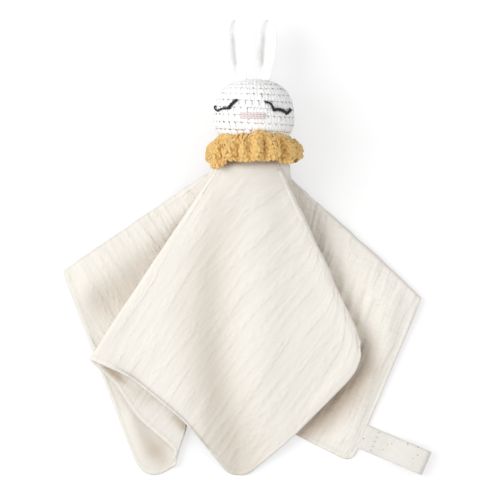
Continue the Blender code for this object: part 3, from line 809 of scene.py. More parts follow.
def ear_backing(name, place, thickness):
    """The ear's closed inside, and how much painted shade each of its vertices takes in the groove.
    """
    shares = list(np.linspace(-0.08, 0.93, 45)) + [0.955, 0.975, 0.99]
    count = 28
    rings = []
    for share in shares:
        own = thickness * min(1.0, 0.3 + 9 * (1 - share))
        rings.append([place @ point for point in ear_ring(share, own, count, 0.06)])
    root = Vector((0, -EAR_ROOT_DEPTH, 0))
    tip = Vector((0, EAR_LENGTH * 0.998, -EAR_TIP_DROP))
    mesh = capped_tube(name, place @ root, rings, place @ tip)
    # Painted shade along the fold groove on the ear's upper face
    groove = [0.0]
    for share in shares:
        window = float(ease((share - 0.10) / 0.15) - ease((share - 0.62) / 0.2))
        for step in range(count):
            turn = math.tau * step / count
            near = math.exp(-((math.cos(turn) - EAR_GROOVE_SHIFT) / 0.2) ** 2)
            groove.append(0.8 * window * near * (math.sin(turn) > 0))
    return mesh, groove + [0.0]


def ear_stitch_rows(place, width, height):
    """Stitches on the ear's two faces, clear of its rim and of the groove on top."""
    rows = []
    turn_only = place.to_3x3()

    def around(share, part):
        ring = ear_ring(share, EAR_STITCH_BED, 96)
        closed = ring + [ring[0]]
        reach = reach_along(closed)
        return place_along(closed, reach, reach[-1] * (part % 1.0)), reach[-1]

    for row in range(EAR_ROWS):
        share = -0.05 + 0.95 * row / (EAR_ROWS - 1)
        length = around(share, 0.0)[1]
        count = max(4, round(length / width))
        for step in range(count):
            part = (step + 0.5 * (row % 2)) / count
            here = around(share, part)[0]
            reach = here.x / max(ear_half_width(share), 1e-6)
            # Stitches are left out of the groove so that its painted shade shows
            in_groove = abs(reach - EAR_GROOVE_SHIFT) < 0.24 and 0.12 < share < 0.72
            if abs(reach) > 0.66 or in_groove and here.z > around(share, 0.75)[0].z:
                continue
            across = around(share, part + 0.02)[0] - here
            outwards = (around(min(share + 0.06, 1.0), part)[0] - here).cross(across)
            if outwards.length < 1e-12 or abs(outwards.normalized().z) < 0.80:
                continue
            rows.append((place @ here, turn_only @ -across, turn_only @ outwards,
                         length / count * 0.98, height, width * 0.26))
    return rows


def ruffle_gather(degrees):
    """How far out a place on the ruffle stands: 1 on a crest and 0 in a crease."""
    gap = np.abs((degrees - RUFFLE_CREASES[:, 0] + 180) % 360 - 180)
    return 1 - float(np.max(RUFFLE_CREASES[:, 1] * np.exp(-(gap / 6.0) ** 2)))


def ruffle_place(turn, row_share, puff):
    """A place on the ruffle, from its top edge (0) to its lower edge (1)."""
    degrees = (math.degrees(turn) + 180) % 360 - 180
    frontness = (1 + math.cos(turn)) / 2
    top = RUFFLE_TOP + RUFFLE_FRONT_RISE * frontness
    top += RUFFLE_PEAK_RISE * math.exp(-((degrees - 7) / 9) ** 2)
    wander = noise.noise(Vector((math.cos(turn) * 2.2, math.sin(turn) * 2.2, 4.0)))
    top += RUFFLE_TOP_WANDER * wander * frontness
    wander = noise.noise(Vector((math.cos(turn) * 3, math.sin(turn) * 3, 9.0)))
    drop = -RUFFLE_DROP - RUFFLE_HEM_WANDER * wander
    tail = math.exp(-((degrees + 57) / 8) ** 2) + 0.35 * math.exp(-((degrees - 50) / 9) ** 2)
    drop -= RUFFLE_TAIL_DROP * tail
    drop += RUFFLE_RIGHT_LIFT * math.exp(-((degrees - 86) / 18) ** 2)
    along = top + (drop - top) * row_share
    snug = head_radius_at(top - HEAD_WAIST_RISE) + RUFFLE_SNUG_GAP
    crest = ruffle_gather(degrees)
    flare = row_share ** 0.8
    belly = math.sin(math.pi * min(row_share * 1.05, 1.0))
    radius = snug + (RUFFLE_HEM_RADIUS - snug) * flare + RUFFLE_BELLY * belly * crest
    radius += RUFFLE_CREST_HEIGHT * (crest - 0.66) * ease(row_share * 2.2)
    if along > KNOT_ROOM:
        own = head_radius_at(min(along - HEAD_WAIST_RISE, 0.0))
        radius = max(radius, own + RUFFLE_HEAD_GAP)
    radius += puff
    place = round_neck(turn, radius, along)
    place.z = max(place.z, RUFFLE_LOWEST)
    return place


def ruffle_backing(thickness):
    columns, rows = 260, 9
    outer, inner = ([[ruffle_place(math.tau * c / columns, r / rows, puff) for c in range(columns)]
                     for r in range(rows + 1)] for puff in (0.0, -thickness))
    loop = outer + inner[::-1]
    verts = [p for ring in loop for p in ring]
    faces = []
    for ring in range(len(loop)):
        low, high = ring * columns, ((ring + 1) % len(loop)) * columns
        for step in range(columns):
            after = (step + 1) % columns
            faces.append((low + step, low + after, high + after, high + step))
    mesh = mesh_of("ruffle_backing", verts, faces)
    face_outwards(mesh)
    return mesh


def ruffle_stitch_rows(width, height):
    rows = []
    turns = np.linspace(0, math.tau, 1441)
    for row in range(RUFFLE_ROUNDS):
        share = (row + 0.35) / (RUFFLE_ROUNDS - 0.4)
        reach = reach_along([ruffle_place(turn, share, 0.0) for turn in turns])
        count = round(reach[-1] / width)
        for step in range(count):
            wanted = reach[-1] * (step + 0.5 * (row % 2)) / count
            turn = float(np.interp(wanted, reach, turns))
            here = ruffle_place(turn, share, -RUFFLE_STITCH_SEAT)
            across = ruffle_place(turn + 0.02, share, 0) - ruffle_place(turn - 0.02, share, 0)
            down = (ruffle_place(turn, min(share + 0.06, 1), 0)
                    - ruffle_place(turn, max(share - 0.06, 0), 0))
            outwards = down.cross(across)
            if outwards.dot(here - Vector((NECK.x, here.y, NECK.z))) < 0:
                outwards *= -1
            if outwards.length > 1e-8:
                rows.append((here, across, outwards, width * 1.12, height * 1.08, width * 0.54))
    return rows


def on_head(degrees, share, stand_off):
    height = share * CROWN_HEIGHT
    radius = head_radius_at(height) + stand_off
    return round_neck(math.radians(degrees), radius, HEAD_WAIST_RISE + height)


def plied_strands(line, radius, plies, pitch):
    """Plies wound round a line, as the points and radii of each strand."""
    strands = []
    reach = reach_along(line)
    for ply in range(plies):
        points = []
        for index, point in enumerate(line):
            along = way_at(line, index)
            side = square_to(along)
            turn = math.tau * (ply / plies + reach[index] / pitch)
            out = side * math.cos(turn) + along.cross(side) * math.sin(turn)
            points.append(point + out * radius * 0.5)
        radii = [radius * 0.62] * len(points)
        radii[0] = radii[-1] = radius * 0.3
        strands.append((points, radii))
    return strands


def backstitches(rows, weights, radius, stand_off, sunk):
    """One arched stitch between each pair of rows, its ends pulled into the head."""
    strands = []
    for low, high, weight in zip(rows, rows[1:], weights):
        points = []
        for step in range(7):
            share = step / 6
            degrees = low[0] + (high[0] - low[0]) * (-0.05 + 1.10 * share)
            height = low[1] + (high[1] - low[1]) * (-0.05 + 1.10 * share)
            arch = stand_off - sunk * abs(2 * share - 1) ** 4
            points.append(on_head(degrees, height, arch))
        strands += plied_strands(smooth_line(points, 16), radius * weight, 2, radius * 5)
    return strands


def whip_stitches(line, outwards, width, radius, spacing):
    """Short slanting stitches over a seam, along a line on a surface."""
    strands = []
    reach = reach_along(line)
    count = max(int(reach[-1] / spacing), 2)
    for step in range(count):
        wanted = reach[-1] * (step + 0.5) / count
        index = min(int(np.searchsorted(reach, wanted)), len(line) - 1)
        here = line[index]
        along = (here - line[index - 1]).normalized()
        out = outwards(here).normalized()
        over = along.cross(out).normalized()
        points = [here + over * (width * aside) + along * (spacing * ahead) + out * (radius * up)
                  for aside, ahead, up in ((-0.5, -0.25, -1), (-0.25, 0, 0.9), (0.25, 0, 0.9),
                                           (0.5, 0.25, -1))]
        strands.append((smooth_line(points, 7), [radius * r for r in (.5, .9, 1, 1, 1, .9, .5)]))
    return strands


def hem_read(side, column):
    return float(np.interp(side % 4, HEM_SHARES[:, 0], HEM_SHARES[:, column]))


def hem_point(side):
    return Vector((NECK.x + hem_read(side, ACROSS) * SQUARE_SIDE,
                   NECK.y - hem_read(side, DOWN) * SQUARE_SIDE))


def rounded_hem_point(side):
    reach = hem_read(side, ROUNDING)
    places = [hem_point(side + reach * step) for step in FOLD_TURNS]
    return sum(places, Vector((0, 0))) / len(places)


def layer_at(side, fold_turn, column):
    side = side % 4
    low = max(i for i, row in enumerate(HEM_SHARES[:-1]) if row[0] <= side + 1e-9)
    low_row, high_row = HEM_SHARES[low], HEM_SHARES[low + 1]
    if abs(side - low_row[0]) < 1e-9:
        return low_row[column] + fold_turn * low_row[FOLD_TURN] / 2
    share = (side - low_row[0]) / (high_row[0] - low_row[0])
    start = low_row[column] + low_row[FOLD_TURN] / 2
    end = high_row[column] - high_row[FOLD_TURN] / 2
    return start + (end - start) * share


def neck_ring_point(side, ring, fold_turn):
    half_width, half_height, drop, shift = [share * HEAD_RADIUS for share in ring]
    turn = math.radians(hem_read(side, NECK_ANGLE) + fold_turn * RING_FOLD_DEGREES)
    drop *= SIDE_DROP_SHARE + (1 - SIDE_DROP_SHARE) * math.cos(turn) ** 2
    return Vector((
        NECK.x - shift + half_width * math.sin(turn),
        NECK.y - KNOT_ROOM - STACK / 2 - drop,
        NECK.z + half_height * math.cos(turn)))


def skirt_plan(side, share):
    start = neck_ring_point(side, NECK_RING_SHARES[-1], 0).xy
    sharp = hem_point(side)
    place = start + (sharp - start) * share + (rounded_hem_point(side) - sharp) * share ** 6
    if FLAP_SIDES[0] < side % 4 < FLAP_SIDES[1]:
        across, down, reach, push = [part * SQUARE_SIDE for part in FLAP_SWELL]
        away = math.hypot(place.x - NECK.x - across, NECK.y - place.y - down)
        place.x += push * math.exp(-(away / reach) ** 2)
    return place


def skirt_point(side, share, fold_turn):
    plan = skirt_plan(side, share)
    away = (plan - skirt_plan(side, 0.0)).length
    bend = fold_turn * math.pi / 2
    if fold_turn:
        step = math.copysign(FOLD_REACH, fold_turn)
        inward = skirt_plan(side + step, share) - plan
        reach = min(FOLD_HALF_WIDTH, inward.length) * (1 - math.cos(bend))
        plan = plan + inward.normalized() * reach
    to_hem = float(ease((share - DRAPE_SHARE) / (1 - DRAPE_SHARE)))
    layer = layer_at(side, math.sin(bend), LAYER)
    at_hem = layer_at(side, math.sin(bend), HEM_LAYER)
    rise = LAYER_RISE_AT_NECK + (LAYER_RISE_AT_HEM - LAYER_RISE_AT_NECK) * share
    laid = STACK / 2 + (layer + (at_hem - layer) * to_hem) * rise
    upness = (1 + math.cos(math.radians(hem_read(side, NECK_ANGLE)))) / 2
    landing = LANDING_UNDER + (LANDING_OVER - LANDING_UNDER) * upness
    fall = max(1 - away / landing, 0.0) ** 2
    leaving = neck_ring_point(side, NECK_RING_SHARES[-1], 0).z
    flat = STACK / 2 + hem_read(side, LAYER) * LAYER_RISE_AT_NECK
    return Vector((plan.x, plan.y, laid + (leaving - flat) * fall))


def cloth_sides():
    """Pairs of (side, fold turn) for each spoke, and None where one is filled in."""
    spokes = []
    for low, high in zip(HEM_SHARES, HEM_SHARES[1:]):
        start, end = low[0], high[0]
        if low[FOLD_TURN]:
            spokes += [(low[0], turn) for turn in FOLD_TURNS] + [None] * FOLD_FILL_STEPS
            start += FOLD_REACH
        if high[FOLD_TURN]:
            end -= FOLD_REACH
        count = max(int(math.ceil((end - start) / SPOKE_STEP)), 1)
        spokes += [(start + (end - start) * step / count, 0.0) for step in range(count)]
        if high[FOLD_TURN]:
            spokes += [(end, 0.0)] + [None] * FOLD_FILL_STEPS
    return spokes


def flat_corner(side):
    """Where a place on the hem lies on the flat square, from -0.5 to 0.5."""
    side = side % 4
    corners = ((-0.5, -0.5), (0.5, -0.5), (0.5, 0.5), (-0.5, 0.5), (-0.5, -0.5))
    index = min(int(side), 3)
    share = side - index
    return tuple(a + (b - a) * share for a, b in zip(corners[index], corners[index + 1]))


def crinkle(flat_x, flat_y, weight_first):
    """Puckers of double gauze at a place on the flat square, from -1 to 1."""
    x, y = flat_x * SQUARE_SIDE * 1000, flat_y * SQUARE_SIDE * 1000
    slant = y - x * THREAD_SLANT
    first = noise.noise(Vector((x / 20.0, slant / 8.0, 0.0)))
    second = noise.noise(Vector((x / 8.0, y / 20.0, 20.0)))
    broad = noise.noise(Vector((x / 26.0, y / 26.0, 40.0)))
    return first * weight_first + second * (1 - weight_first) + 1.2 * broad


# Soft ridges in the cloth: the layer they lift, then places along each one as
# shares of the side across and down from the neck, with height and half width
RIDGES = (
    # front crest on the left
    (2.5, (
        (-0.0899, 0.0862, 0.0016, 0.006), (-0.1380, 0.2033, 0.0041, 0.012),
        (-0.1631, 0.3037, 0.0052, 0.0160), (-0.1694, 0.3978, 0.0055, 0.0170),
        (-0.1527, 0.4919, 0.0050, 0.0150), (-0.1192, 0.5651, 0.003, 0.012),
    )),
    # front crest in the middle
    (2.5, (
        (0.0167, 0.0841, 0.0012, 0.007), (0.0167, 0.1782, 0.0032, 0.01),
        (0.0167, 0.3037, 0.0038, 0.011), (0.0167, 0.4083, 0.0038, 0.011),
        (0.0188, 0.4919, 0.0034, 0.011), (0.0251, 0.5651, 0.0022, 0.01),
    )),
    # front swell on the right
    (2.5, (
        (0.0586, 0.1364, 0.0008, 0.01), (0.1025, 0.2619, 0.0022, 0.017),
        (0.1339, 0.3873, 0.0022, 0.017), (0.0962, 0.4815, 0.0016, 0.013),
    )),
    # front panel's puffed right fold
    (2.5, (
        (0.0753, 0.0862, 0.0012, 0.004), (0.1422, 0.2242, 0.0025, 0.0055),
        (0.1987, 0.3413, 0.0030, 0.006), (0.2217, 0.4083, 0.0028, 0.006),
        (0.2008, 0.4543, 0.0024, 0.0055), (0.1422, 0.5170, 0.0017, 0.0045),
    )),
    # front panel's lifted hem over the pocket
    (2.5, (
        (-0.3095, 0.4417, 0.0029, 0.0051), (-0.2719, 0.4626, 0.0029, 0.0051),
    )),
    # back left panel's crest
    (1.0, (
        (-0.3681, 0.2870, 0.004, 0.008), (-0.2970, 0.2284, 0.0046, 0.01),
        (-0.2175, 0.1761, 0.0036, 0.008), (-0.1443, 0.1196, 0.0016, 0.0045),
    )),
    # right panel's crest
    (1.0, (
        (0.1590, 0.1364, 0.0018, 0.006), (0.2154, 0.2284, 0.0031, 0.009),
        (0.2803, 0.3079, 0.0031, 0.0096), (0.2510, 0.4543, 0.0026, 0.0096),
        (0.2008, 0.5798, 0.0016, 0.0077),
    )),
    # right panel's creases
    (1.0, (
        (0.1610, 0.3413, 0.0017, 0.0018), (0.1924, 0.2702, 0.0014, 0.0018),
    )),
    (1.0, (
        (0.1820, 0.3685, 0.0019, 0.0019), (0.2196, 0.2828, 0.0012, 0.0017),
    )),
    (1.0, (
        (0.2050, 0.3936, 0.0012, 0.0017), (0.2447, 0.3058, 0.001, 0.0017),
    )),
    (1.0, (
        (0.1339, 0.3037, 0.001, 0.0015), (0.1590, 0.2451, 0.0008, 0.0015),
    )),
    (1.0, (
        (0.1590, 0.5672, 0.0012, 0.0019), (0.1861, 0.5045, 0.001, 0.0019),
    )),
    (1.0, (
        (0.1903, 0.5547, 0.0008, 0.0019), (0.2112, 0.4961, 0.0007, 0.0019),
    )),
    # lower left panel's swell
    (1.0, (
        (-0.2656, 0.5651, 0.0022, 0.0055), (-0.2322, 0.6341, 0.0016, 0.005),
    )),
)

# Places that stay in shade under a fold, with the shade painted into the cloth's colour:
# as above, with the depth of painted shade in place of the height
PAINTED_FOLD_SHADES = (
    # right panel beside the front panel
    (1.0, (
        (0.0837, 0.0653, 0.24, 0.004), (0.0983, 0.1113, 0.32, 0.0045),
        (0.1339, 0.1928, 0.26, 0.005), (0.1757, 0.2765, 0.24, 0.005),
        (0.2112, 0.3455, 0.3, 0.0045), (0.2363, 0.3978, 0.5, 0.005),
        (0.2342, 0.4459, 0.72, 0.0055), (0.1924, 0.4982, 0.85, 0.007),
        (0.1359, 0.5526, 0.85, 0.0065), (0.1004, 0.5839, 0.7, 0.0048),
    )),
    # back left panel beside the front panel
    (1.0, (
        (-0.1590, 0.1405, 0.15, 0.004), (-0.2175, 0.2117, 0.28, 0.0065),
        (-0.2698, 0.2765, 0.4, 0.009), (-0.3095, 0.3079, 0.42, 0.009),
    )),
    # lower left panel beside the flap
    (1.0, (
        (-0.2510, 0.5463, 0.1, 0.0025), (-0.2301, 0.5839, 0.35, 0.0038),
        (-0.2071, 0.6174, 0.62, 0.0050), (-0.1903, 0.6383, 0.38, 0.0045),
    )),
    # pocket under the front panel's hem
    (2.0, (
        (-0.3095, 0.4438, 0.7, 0.0016), (-0.2949, 0.4553, 0.95, 0.0018),
        (-0.2803, 0.4679, 0.9, 0.0017), (-0.2656, 0.4794, 0.3, 0.0014),
        (-0.2531, 0.4898, 0.1, 0.0012),
    )),
    # flap under the front panel's hem
    (2.0, (
        (-0.2426, 0.4982, 0.3, 0.0035), (-0.2217, 0.5128, 0.2, 0.003),
    )),
    # flap's far corner
    (2.0, (
        (-0.1673, 0.5484, 0.4, 0.0018), (-0.1464, 0.5672, 0.7, 0.0022),
    )),
    # front panel's valley
    (3.0, (
        (-0.0648, 0.1196, 0.12, 0.006), (-0.0962, 0.2200, 0.26, 0.0075),
        (-0.0983, 0.3664, 0.36, 0.0085), (-0.0816, 0.4815, 0.38, 0.009),
        (-0.0502, 0.5965, 0.38, 0.012), (-0.0335, 0.6509, 0.36, 0.013),
    )),
)


def ridge_height(across, down, points):
    """Height of one ridge at a place, from the nearest of its segments."""
    best = 0.0
    for low, high in zip(points, points[1:]):
        along = (high[0] - low[0], high[1] - low[1])
        size = along[0] ** 2 + along[1] ** 2
        share = ((across - low[0]) * along[0] + (down - low[1]) * along[1]) / size
        share = min(max(share, 0.0), 1.0)
        height = low[2] + (high[2] - low[2]) * share
        width = low[3] + (high[3] - low[3]) * share
        away_x = across - low[0] - along[0] * share
        away_y = down - low[1] - along[1] * share
        away = math.hypot(away_x, away_y) * SQUARE_SIDE
        best = max(best, height * math.exp(-0.5 * (away / width) ** 2))
    return best


def sum_at(place, layer, table):
    """What a table of ridges or painted shades adds at a place on one of the layers."""
    across = (place.x - NECK.x) / SQUARE_SIDE
    down = (NECK.y - place.y) / SQUARE_SIDE
    total = 0.0
    for own_layer, points in table:
        if own_layer > 2:
            weight = float(ease(layer - 2.0))
        else:
            weight = max(1 - abs(layer - own_layer) * 2, 0.0)
        if weight > 0:
            total += weight * ridge_height(across, down, points)
    return total


def lining_shows(side):
    """1 where the lining rolls out under the front panel's hem, and 0 elsewhere."""
    return float(ease((side - 3.63) / 0.05) - ease((side - 3.90) / 0.04))


def grain_at(side):
    """Share of the creases that run along the first side of the square."""
    return 0.82 - 0.64 * float(ease((side - 0.60) / 0.20) - ease((side - 2.0) / 0.3))


def pucker_at(side):
    """How strongly the gauze puckers show: least on the lower left panel and the flap."""
    right = float(ease((side - 0.60) / 0.2) - ease((side - 1.7) / 0.3))
    calm = float(ease((side - 2.70) / 0.15) - ease((side - 3.56) / 0.03))
    return 0.55 + 1.75 * right - 0.30 * calm


def cloth_lines():
    """Each spoke from the neck to the hem: its places, side, shares and painted shades."""
    shares = np.linspace(0.0, 1.0, SKIRT_RINGS + 1)[1:]
    lines = []
    for spoke in cloth_sides():
        if spoke is None:
            lines.append(None)
            continue
        side, fold_turn = spoke
        line = [neck_ring_point(side, ring, fold_turn) for ring in NECK_RING_SHARES]
        dark = [0.0] * len(line)
        length = (skirt_plan(side, 1.0) - skirt_plan(side, 0.0)).length
        inner = [share for share in shares if share < 1 - (HEM_DEPTHS[0] + 0.0012) / length]
        own = list(np.linspace(inner[0], inner[-1], SKIRT_RINGS - 4))
        own += [1 - depth / length for depth in HEM_DEPTHS]
        layer = layer_at(side, math.sin(fold_turn * math.pi / 2), LAYER)
        for share in own:
            point = skirt_point(side, share, fold_turn)
            grounded = 1.0 if layer > 2 else float(ease((1 - share) * length / HEM_LANDING))
            point.z += sum_at(point, layer, RIDGES) * grounded
            line.append(point)
            # Painted shade that the folds above cast on this place
            dark.append(sum_at(point, layer, PAINTED_FOLD_SHADES))
        lines.append([np.array(part) for part in (line, side + fold_turn * 0.006, own, dark)])
    for index, line in enumerate(lines):
        if line is None:
            after = index
            while lines[after % len(lines)] is None:
                after += 1
            share = 1 / (after - index + 1)
            first, last = lines[index - 1], list(lines[after % len(lines)])
            if last[1] < first[1]:
                last[1] = last[1] + 4
            lines[index] = [a + (b - a) * share for a, b in zip(first, last)]
    return lines


def muslin_mesh(crinkle_height):
    """The whole square as one closed sheet, with its painted shade kept at the vertices."""
    lines = cloth_lines()
    grid = np.array([line[0] for line in lines])
    sides = [float(line[1]) % 4 for line in lines]
    count, rings = grid.shape[:2]
    neck_rings = len(NECK_RING_SHARES)
    rolled = np.array([lining_shows(side) for side in sides])
    grid[:, -LINING_RINGS:, 2] -= LINING_STEP * rolled[:, None]
    along = np.roll(grid, -1, axis=0) - np.roll(grid, 1, axis=0)
    normal = np.cross(np.gradient(grid, axis=1), along)
    normal /= np.maximum(np.linalg.norm(normal, axis=2, keepdims=True), 1e-12)
    if normal[0, rings // 2, 2] < 0:
        normal *= -1

    flat = np.zeros((count, rings, 2))
    ripple = np.zeros((count, rings))
    near_neck = [NECK_FLAT_SHARE * ring[0] for ring in NECK_RING_SHARES]
    for index, side in enumerate(sides):
        own = NECK_FLAT_SHARE + (1 - NECK_FLAT_SHARE) * lines[index][2]
        flat[index] = np.concatenate([near_neck, own])[:, None] * np.array(flat_corner(side))
        strength = min(pucker_at(side) * 1.7, 1.0)
        for ring in range(neck_rings, rings):
            ripple[index, ring] = crinkle(*flat[index, ring], grain_at(side)) * strength
    calm = np.ones(rings)
    calm[-len(HEM_CALMS):] = HEM_CALMS
    swell = np.ones(rings)
    swell[-len(HEM_SWELLS):] = HEM_SWELLS
    middle = grid + normal * (ripple * calm * crinkle_height)[..., None]
    half = normal * (STACK / 2 * swell)[None, :, None]
    upper, lower = middle + half, middle - half

    verts = np.concatenate([
        upper[:, :-1].reshape(-1, 3), lower[:, :-1].reshape(-1, 3), middle[:, -1],
        upper[:, 0].mean(axis=0)[None], lower[:, 0].mean(axis=0)[None]])
    verts[:, 2] = np.maximum(verts[:, 2], LOWEST_CLOTH)
    per = rings - 1
    shift = count * per
    top_pole, bottom_pole = len(verts) - 2, len(verts) - 1
    faces, uvs = [], []

    def add_face(under, places, pole=None):
        """A face through places (spoke, ring) of one side, the hem's rim being shared."""
        face = [2 * shift + index if ring == per else under * shift + index * per + ring
                for index, ring in places]
        uvs.extend(tuple(flat[index, ring] + 0.5) for index, ring in places)
        if pole:
            face.append(pole)
            uvs.append((0.5, 0.5))
        faces.append(face)

    for index in range(count):
        after = (index + 1) % count
        for ring in range(per):
            corners = [(index, ring), (index, ring + 1), (after, ring + 1), (after, ring)]
            add_face(0, [corners[0]] + corners[:0:-1])
            add_face(1, corners)
        add_face(0, [(after, 0), (index, 0)], top_pole)
        add_face(1, [(index, 0), (after, 0)], bottom_pole)
    mesh = mesh_of("muslin_square", verts, faces)
    layer = mesh.uv_layers.new(name="UVMap")
    layer.data.foreach_set("uv", np.array(uvs, dtype=np.float32).ravel())

    seam = np.zeros((count, rings))
    seam[:, -len(HEM_SWELLS):] = HEM_SEAM_AND_PAINTED_SHADE
    # A painted shadow line under the front panel's hem, where the lining rolls out
    seam[:, -LINING_RINGS - 1:1 - LINING_RINGS] += 1.3 * rolled[:, None]
    for title, values in (
            ("grain", np.repeat([[grain_at(side)] for side in sides], rings, axis=1)),
            ("pucker", np.repeat([[pucker_at(side)] for side in sides], rings, axis=1)),
            ("shade", np.array([line[3] for line in lines])), ("seam", seam)):
        on_face = values[:, :-1].ravel()
        values = np.concatenate([on_face, on_face, values[:, -1], [0, 0]])
        attribute = mesh.attributes.new(title, "FLOAT", "POINT")
        attribute.data.foreach_set("value", values.astype(np.float32))
    face_outwards(mesh)
    return mesh


def tape_frame():
    corner, fold = hem_point(1.0), hem_point(1.385)
    along_hem = (fold - corner).normalized()
    outward = Vector((along_hem.y, -along_hem.x))
    root = corner + along_hem * TAPE_FROM_CORNER + outward * TAPE_ROOT_GAP
    turn = Matrix.Rotation(math.atan2(outward.y, outward.x), 4, "Z")
    return Matrix.Translation((root.x, root.y, 0)) @ turn


def tape_line():
    half = TAPE_THICKNESS / 2
    flat = TAPE_REACH * TAPE_FLAT_SHARE
    end_radius = TAPE_EYE_HEIGHT / 2 + half
    upper_root = half + TAPE_THICKNESS + TAPE_LEG_GAP
    top = half + 2 * end_radius
    turn_x = TAPE_REACH - end_radius - half
    points = [(x, half) for x in np.linspace(-TAPE_ROOT_DEPTH, turn_x, 20)]
    for step in range(1, 17):
        turn = math.pi * step / 16
        points.append((turn_x + end_radius * math.sin(turn),
                       half + end_radius * (1 - math.cos(turn))))
    for step in range(1, 22):
        share = step / 21
        drop = float(ease(share)) ** TAPE_LOOP_FULLNESS
        points.append((turn_x + (flat - turn_x) * share, top + (upper_root - top) * drop))
    points += [(x, upper_root) for x in np.linspace(flat, -TAPE_ROOT_DEPTH, 8)[1:]]
    return points


def tape_mesh():
    """The tape as a closed flat strip with thin woven edges, its UVs in centimetres."""
    place = tape_frame()
    line = [Vector((x, 0, z)) for x, z in tape_line()]
    reach = reach_along(line)
    lanes = np.linspace(-1, 1, 13)
    rows = []
    for index, point in enumerate(line):
        out = Vector((0, 1, 0)).cross(way_at(line, index))
        sway = 0.0001 * math.sin(reach[index] * 420)
        ring = []
        for side in (1, -1):
            for lane in lanes[::side]:
                half = TAPE_THICKNESS / 2 * (1 - 0.55 * abs(lane) ** 10)
                half *= 1.0 + 0.10 * (abs(abs(lane) - 0.86) < 0.06)
                across = lane * (TAPE_WIDTH / 2) + sway
                ring.append(place @ (point + out * (half * side) + Vector((0, across, 0))))
        rows.append(ring)
    count = len(rows[0])
    lane_width = TAPE_WIDTH * UV_PER_METRE / (len(lanes) - 1)
    faces, uvs = [], []
    for index in range(len(rows) - 1):
        near, far = reach[index] * UV_PER_METRE, reach[index + 1] * UV_PER_METRE
        for step in range(count):
            after = (step + 1) % count
            low, high = index * count, (index + 1) * count
            faces.append((low + step, low + after, high + after, high + step))
            left, right = (min(s, count - 1 - s) * lane_width for s in (step, step + 1))
            uvs += ((near, left), (near, right), (far, right), (far, left))
    for start in (0, (len(rows) - 1) * count):
        for step in range(len(lanes) - 1):
            faces.append((start + step, start + step + 1,
                          start + count - 2 - step, start + count - 1 - step))
            uvs += ((0, 0),) * 4
    mesh = mesh_of("tape_loop", [p for ring in rows for p in ring], faces)
    layer = mesh.uv_layers.new(name="UVMap")
    layer.data.foreach_set("uv", np.array(uvs, dtype=np.float32).ravel())
    face_outwards(mesh)
    return mesh


class LoveyCloth(bpy.types.PropertyGroup):
    colour: bpy.props.FloatVectorProperty(
        name="Muslin Colour", description="Colour of the double gauze", subtype="COLOR",
        size=3, min=0, max=1, default=(0.875, 0.835, 0.765))
    crinkle: bpy.props.FloatProperty(
        name="Crinkle Height", description="How far the gauze puckers stand out",
        default=0.00055, min=0, max=0.0015, unit="LENGTH")


class LoveyCrochet(bpy.types.PropertyGroup):
    head_colour: bpy.props.FloatVectorProperty(
        name="Head Colour", description="Colour of the head and ear yarn", subtype="COLOR",
        size=3, min=0, max=1, default=(0.98, 0.975, 0.965))
    ruffle_colour: bpy.props.FloatVectorProperty(
        name="Ruffle Colour", description="Colour of the ruffle yarn", subtype="COLOR",
        size=3, min=0, max=1, default=(1.0, 0.63, 0.225))
    stitch_width: bpy.props.FloatProperty(
        name="Stitch Width", description="Width of one crochet stitch on the head",
        default=0.0045, min=0.003, max=0.007, unit="LENGTH")
    row_height: bpy.props.FloatProperty(
        name="Row Height", description="Height of one crochet row on the head",
        default=0.0052, min=0.003, max=0.008, unit="LENGTH")
    wobble: bpy.props.FloatProperty(
        name="Wobble", description="How unevenly the stitches are turned",
        default=0.07, min=0, max=0.5, unit="ROTATION")


class LoveyTrim(bpy.types.PropertyGroup):
    eye_colour: bpy.props.FloatVectorProperty(
        name="Eye Colour", description="Colour of the eye yarn", subtype="COLOR",
        size=3, min=0, max=1, default=(0.030, 0.030, 0.032))
    nose_colour: bpy.props.FloatVectorProperty(
        name="Nose Colour", description="Colour of the nose yarn", subtype="COLOR",
        size=3, min=0, max=1, default=(0.97, 0.83, 0.82))
    tape_colour: bpy.props.FloatVectorProperty(
        name="Tape Colour", description="Colour of the cotton tape", subtype="COLOR",
        size=3, min=0, max=1, default=(0.84, 0.82, 0.765))
    eye_radius: bpy.props.FloatProperty(
        name="Eye Yarn Radius", description="Half the thickness of the eye yarn",
        default=0.0008, min=0.0004, max=0.0015, unit="LENGTH")


class LOVEY_OT_cloth(bpy.types.Operator):
    """Lays the folded muslin square"""

    bl_idname = "lovey.cloth"
    bl_label = "Muslin Square"

    def execute(self, context):
        settings = context.scene.lovey_cloth
        cloth = new_piece("muslin_square", muslin_mesh(settings.crinkle))
        cloth.data.materials.append(muslin_material(tuple(settings.colour)))
        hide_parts("muslin_face", "muslin_lining")
        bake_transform(cloth)
        return {"FINISHED"}


class LOVEY_OT_head(bpy.types.Operator):
    """Crochets the stuffed head"""

    bl_idname = "lovey.head"
    bl_label = "Head"

    def execute(self, context):
        settings = context.scene.lovey_crochet
        # The backing seen in the holes between stitches is painted grey, as their shade
        yarn = yarn_material("white_cotton_yarn", tuple(settings.head_colour), dark=1.0,
                             relief=0.10, gap=(0.60, 0.59, 0.56))
        rows = head_stitch_rows(settings.stitch_width, settings.row_height, HEAD_ROUNDS_LEAN)
        head = crochet_piece("head_crochet", head_backing(HEAD_BACKING_INSET), rows, yarn,
                             SINGLE_STITCH, settings.wobble)
        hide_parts("head_cover", "head_stuffing", "head_gathering_yarn")
        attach(head, "head")
        return {"FINISHED"}


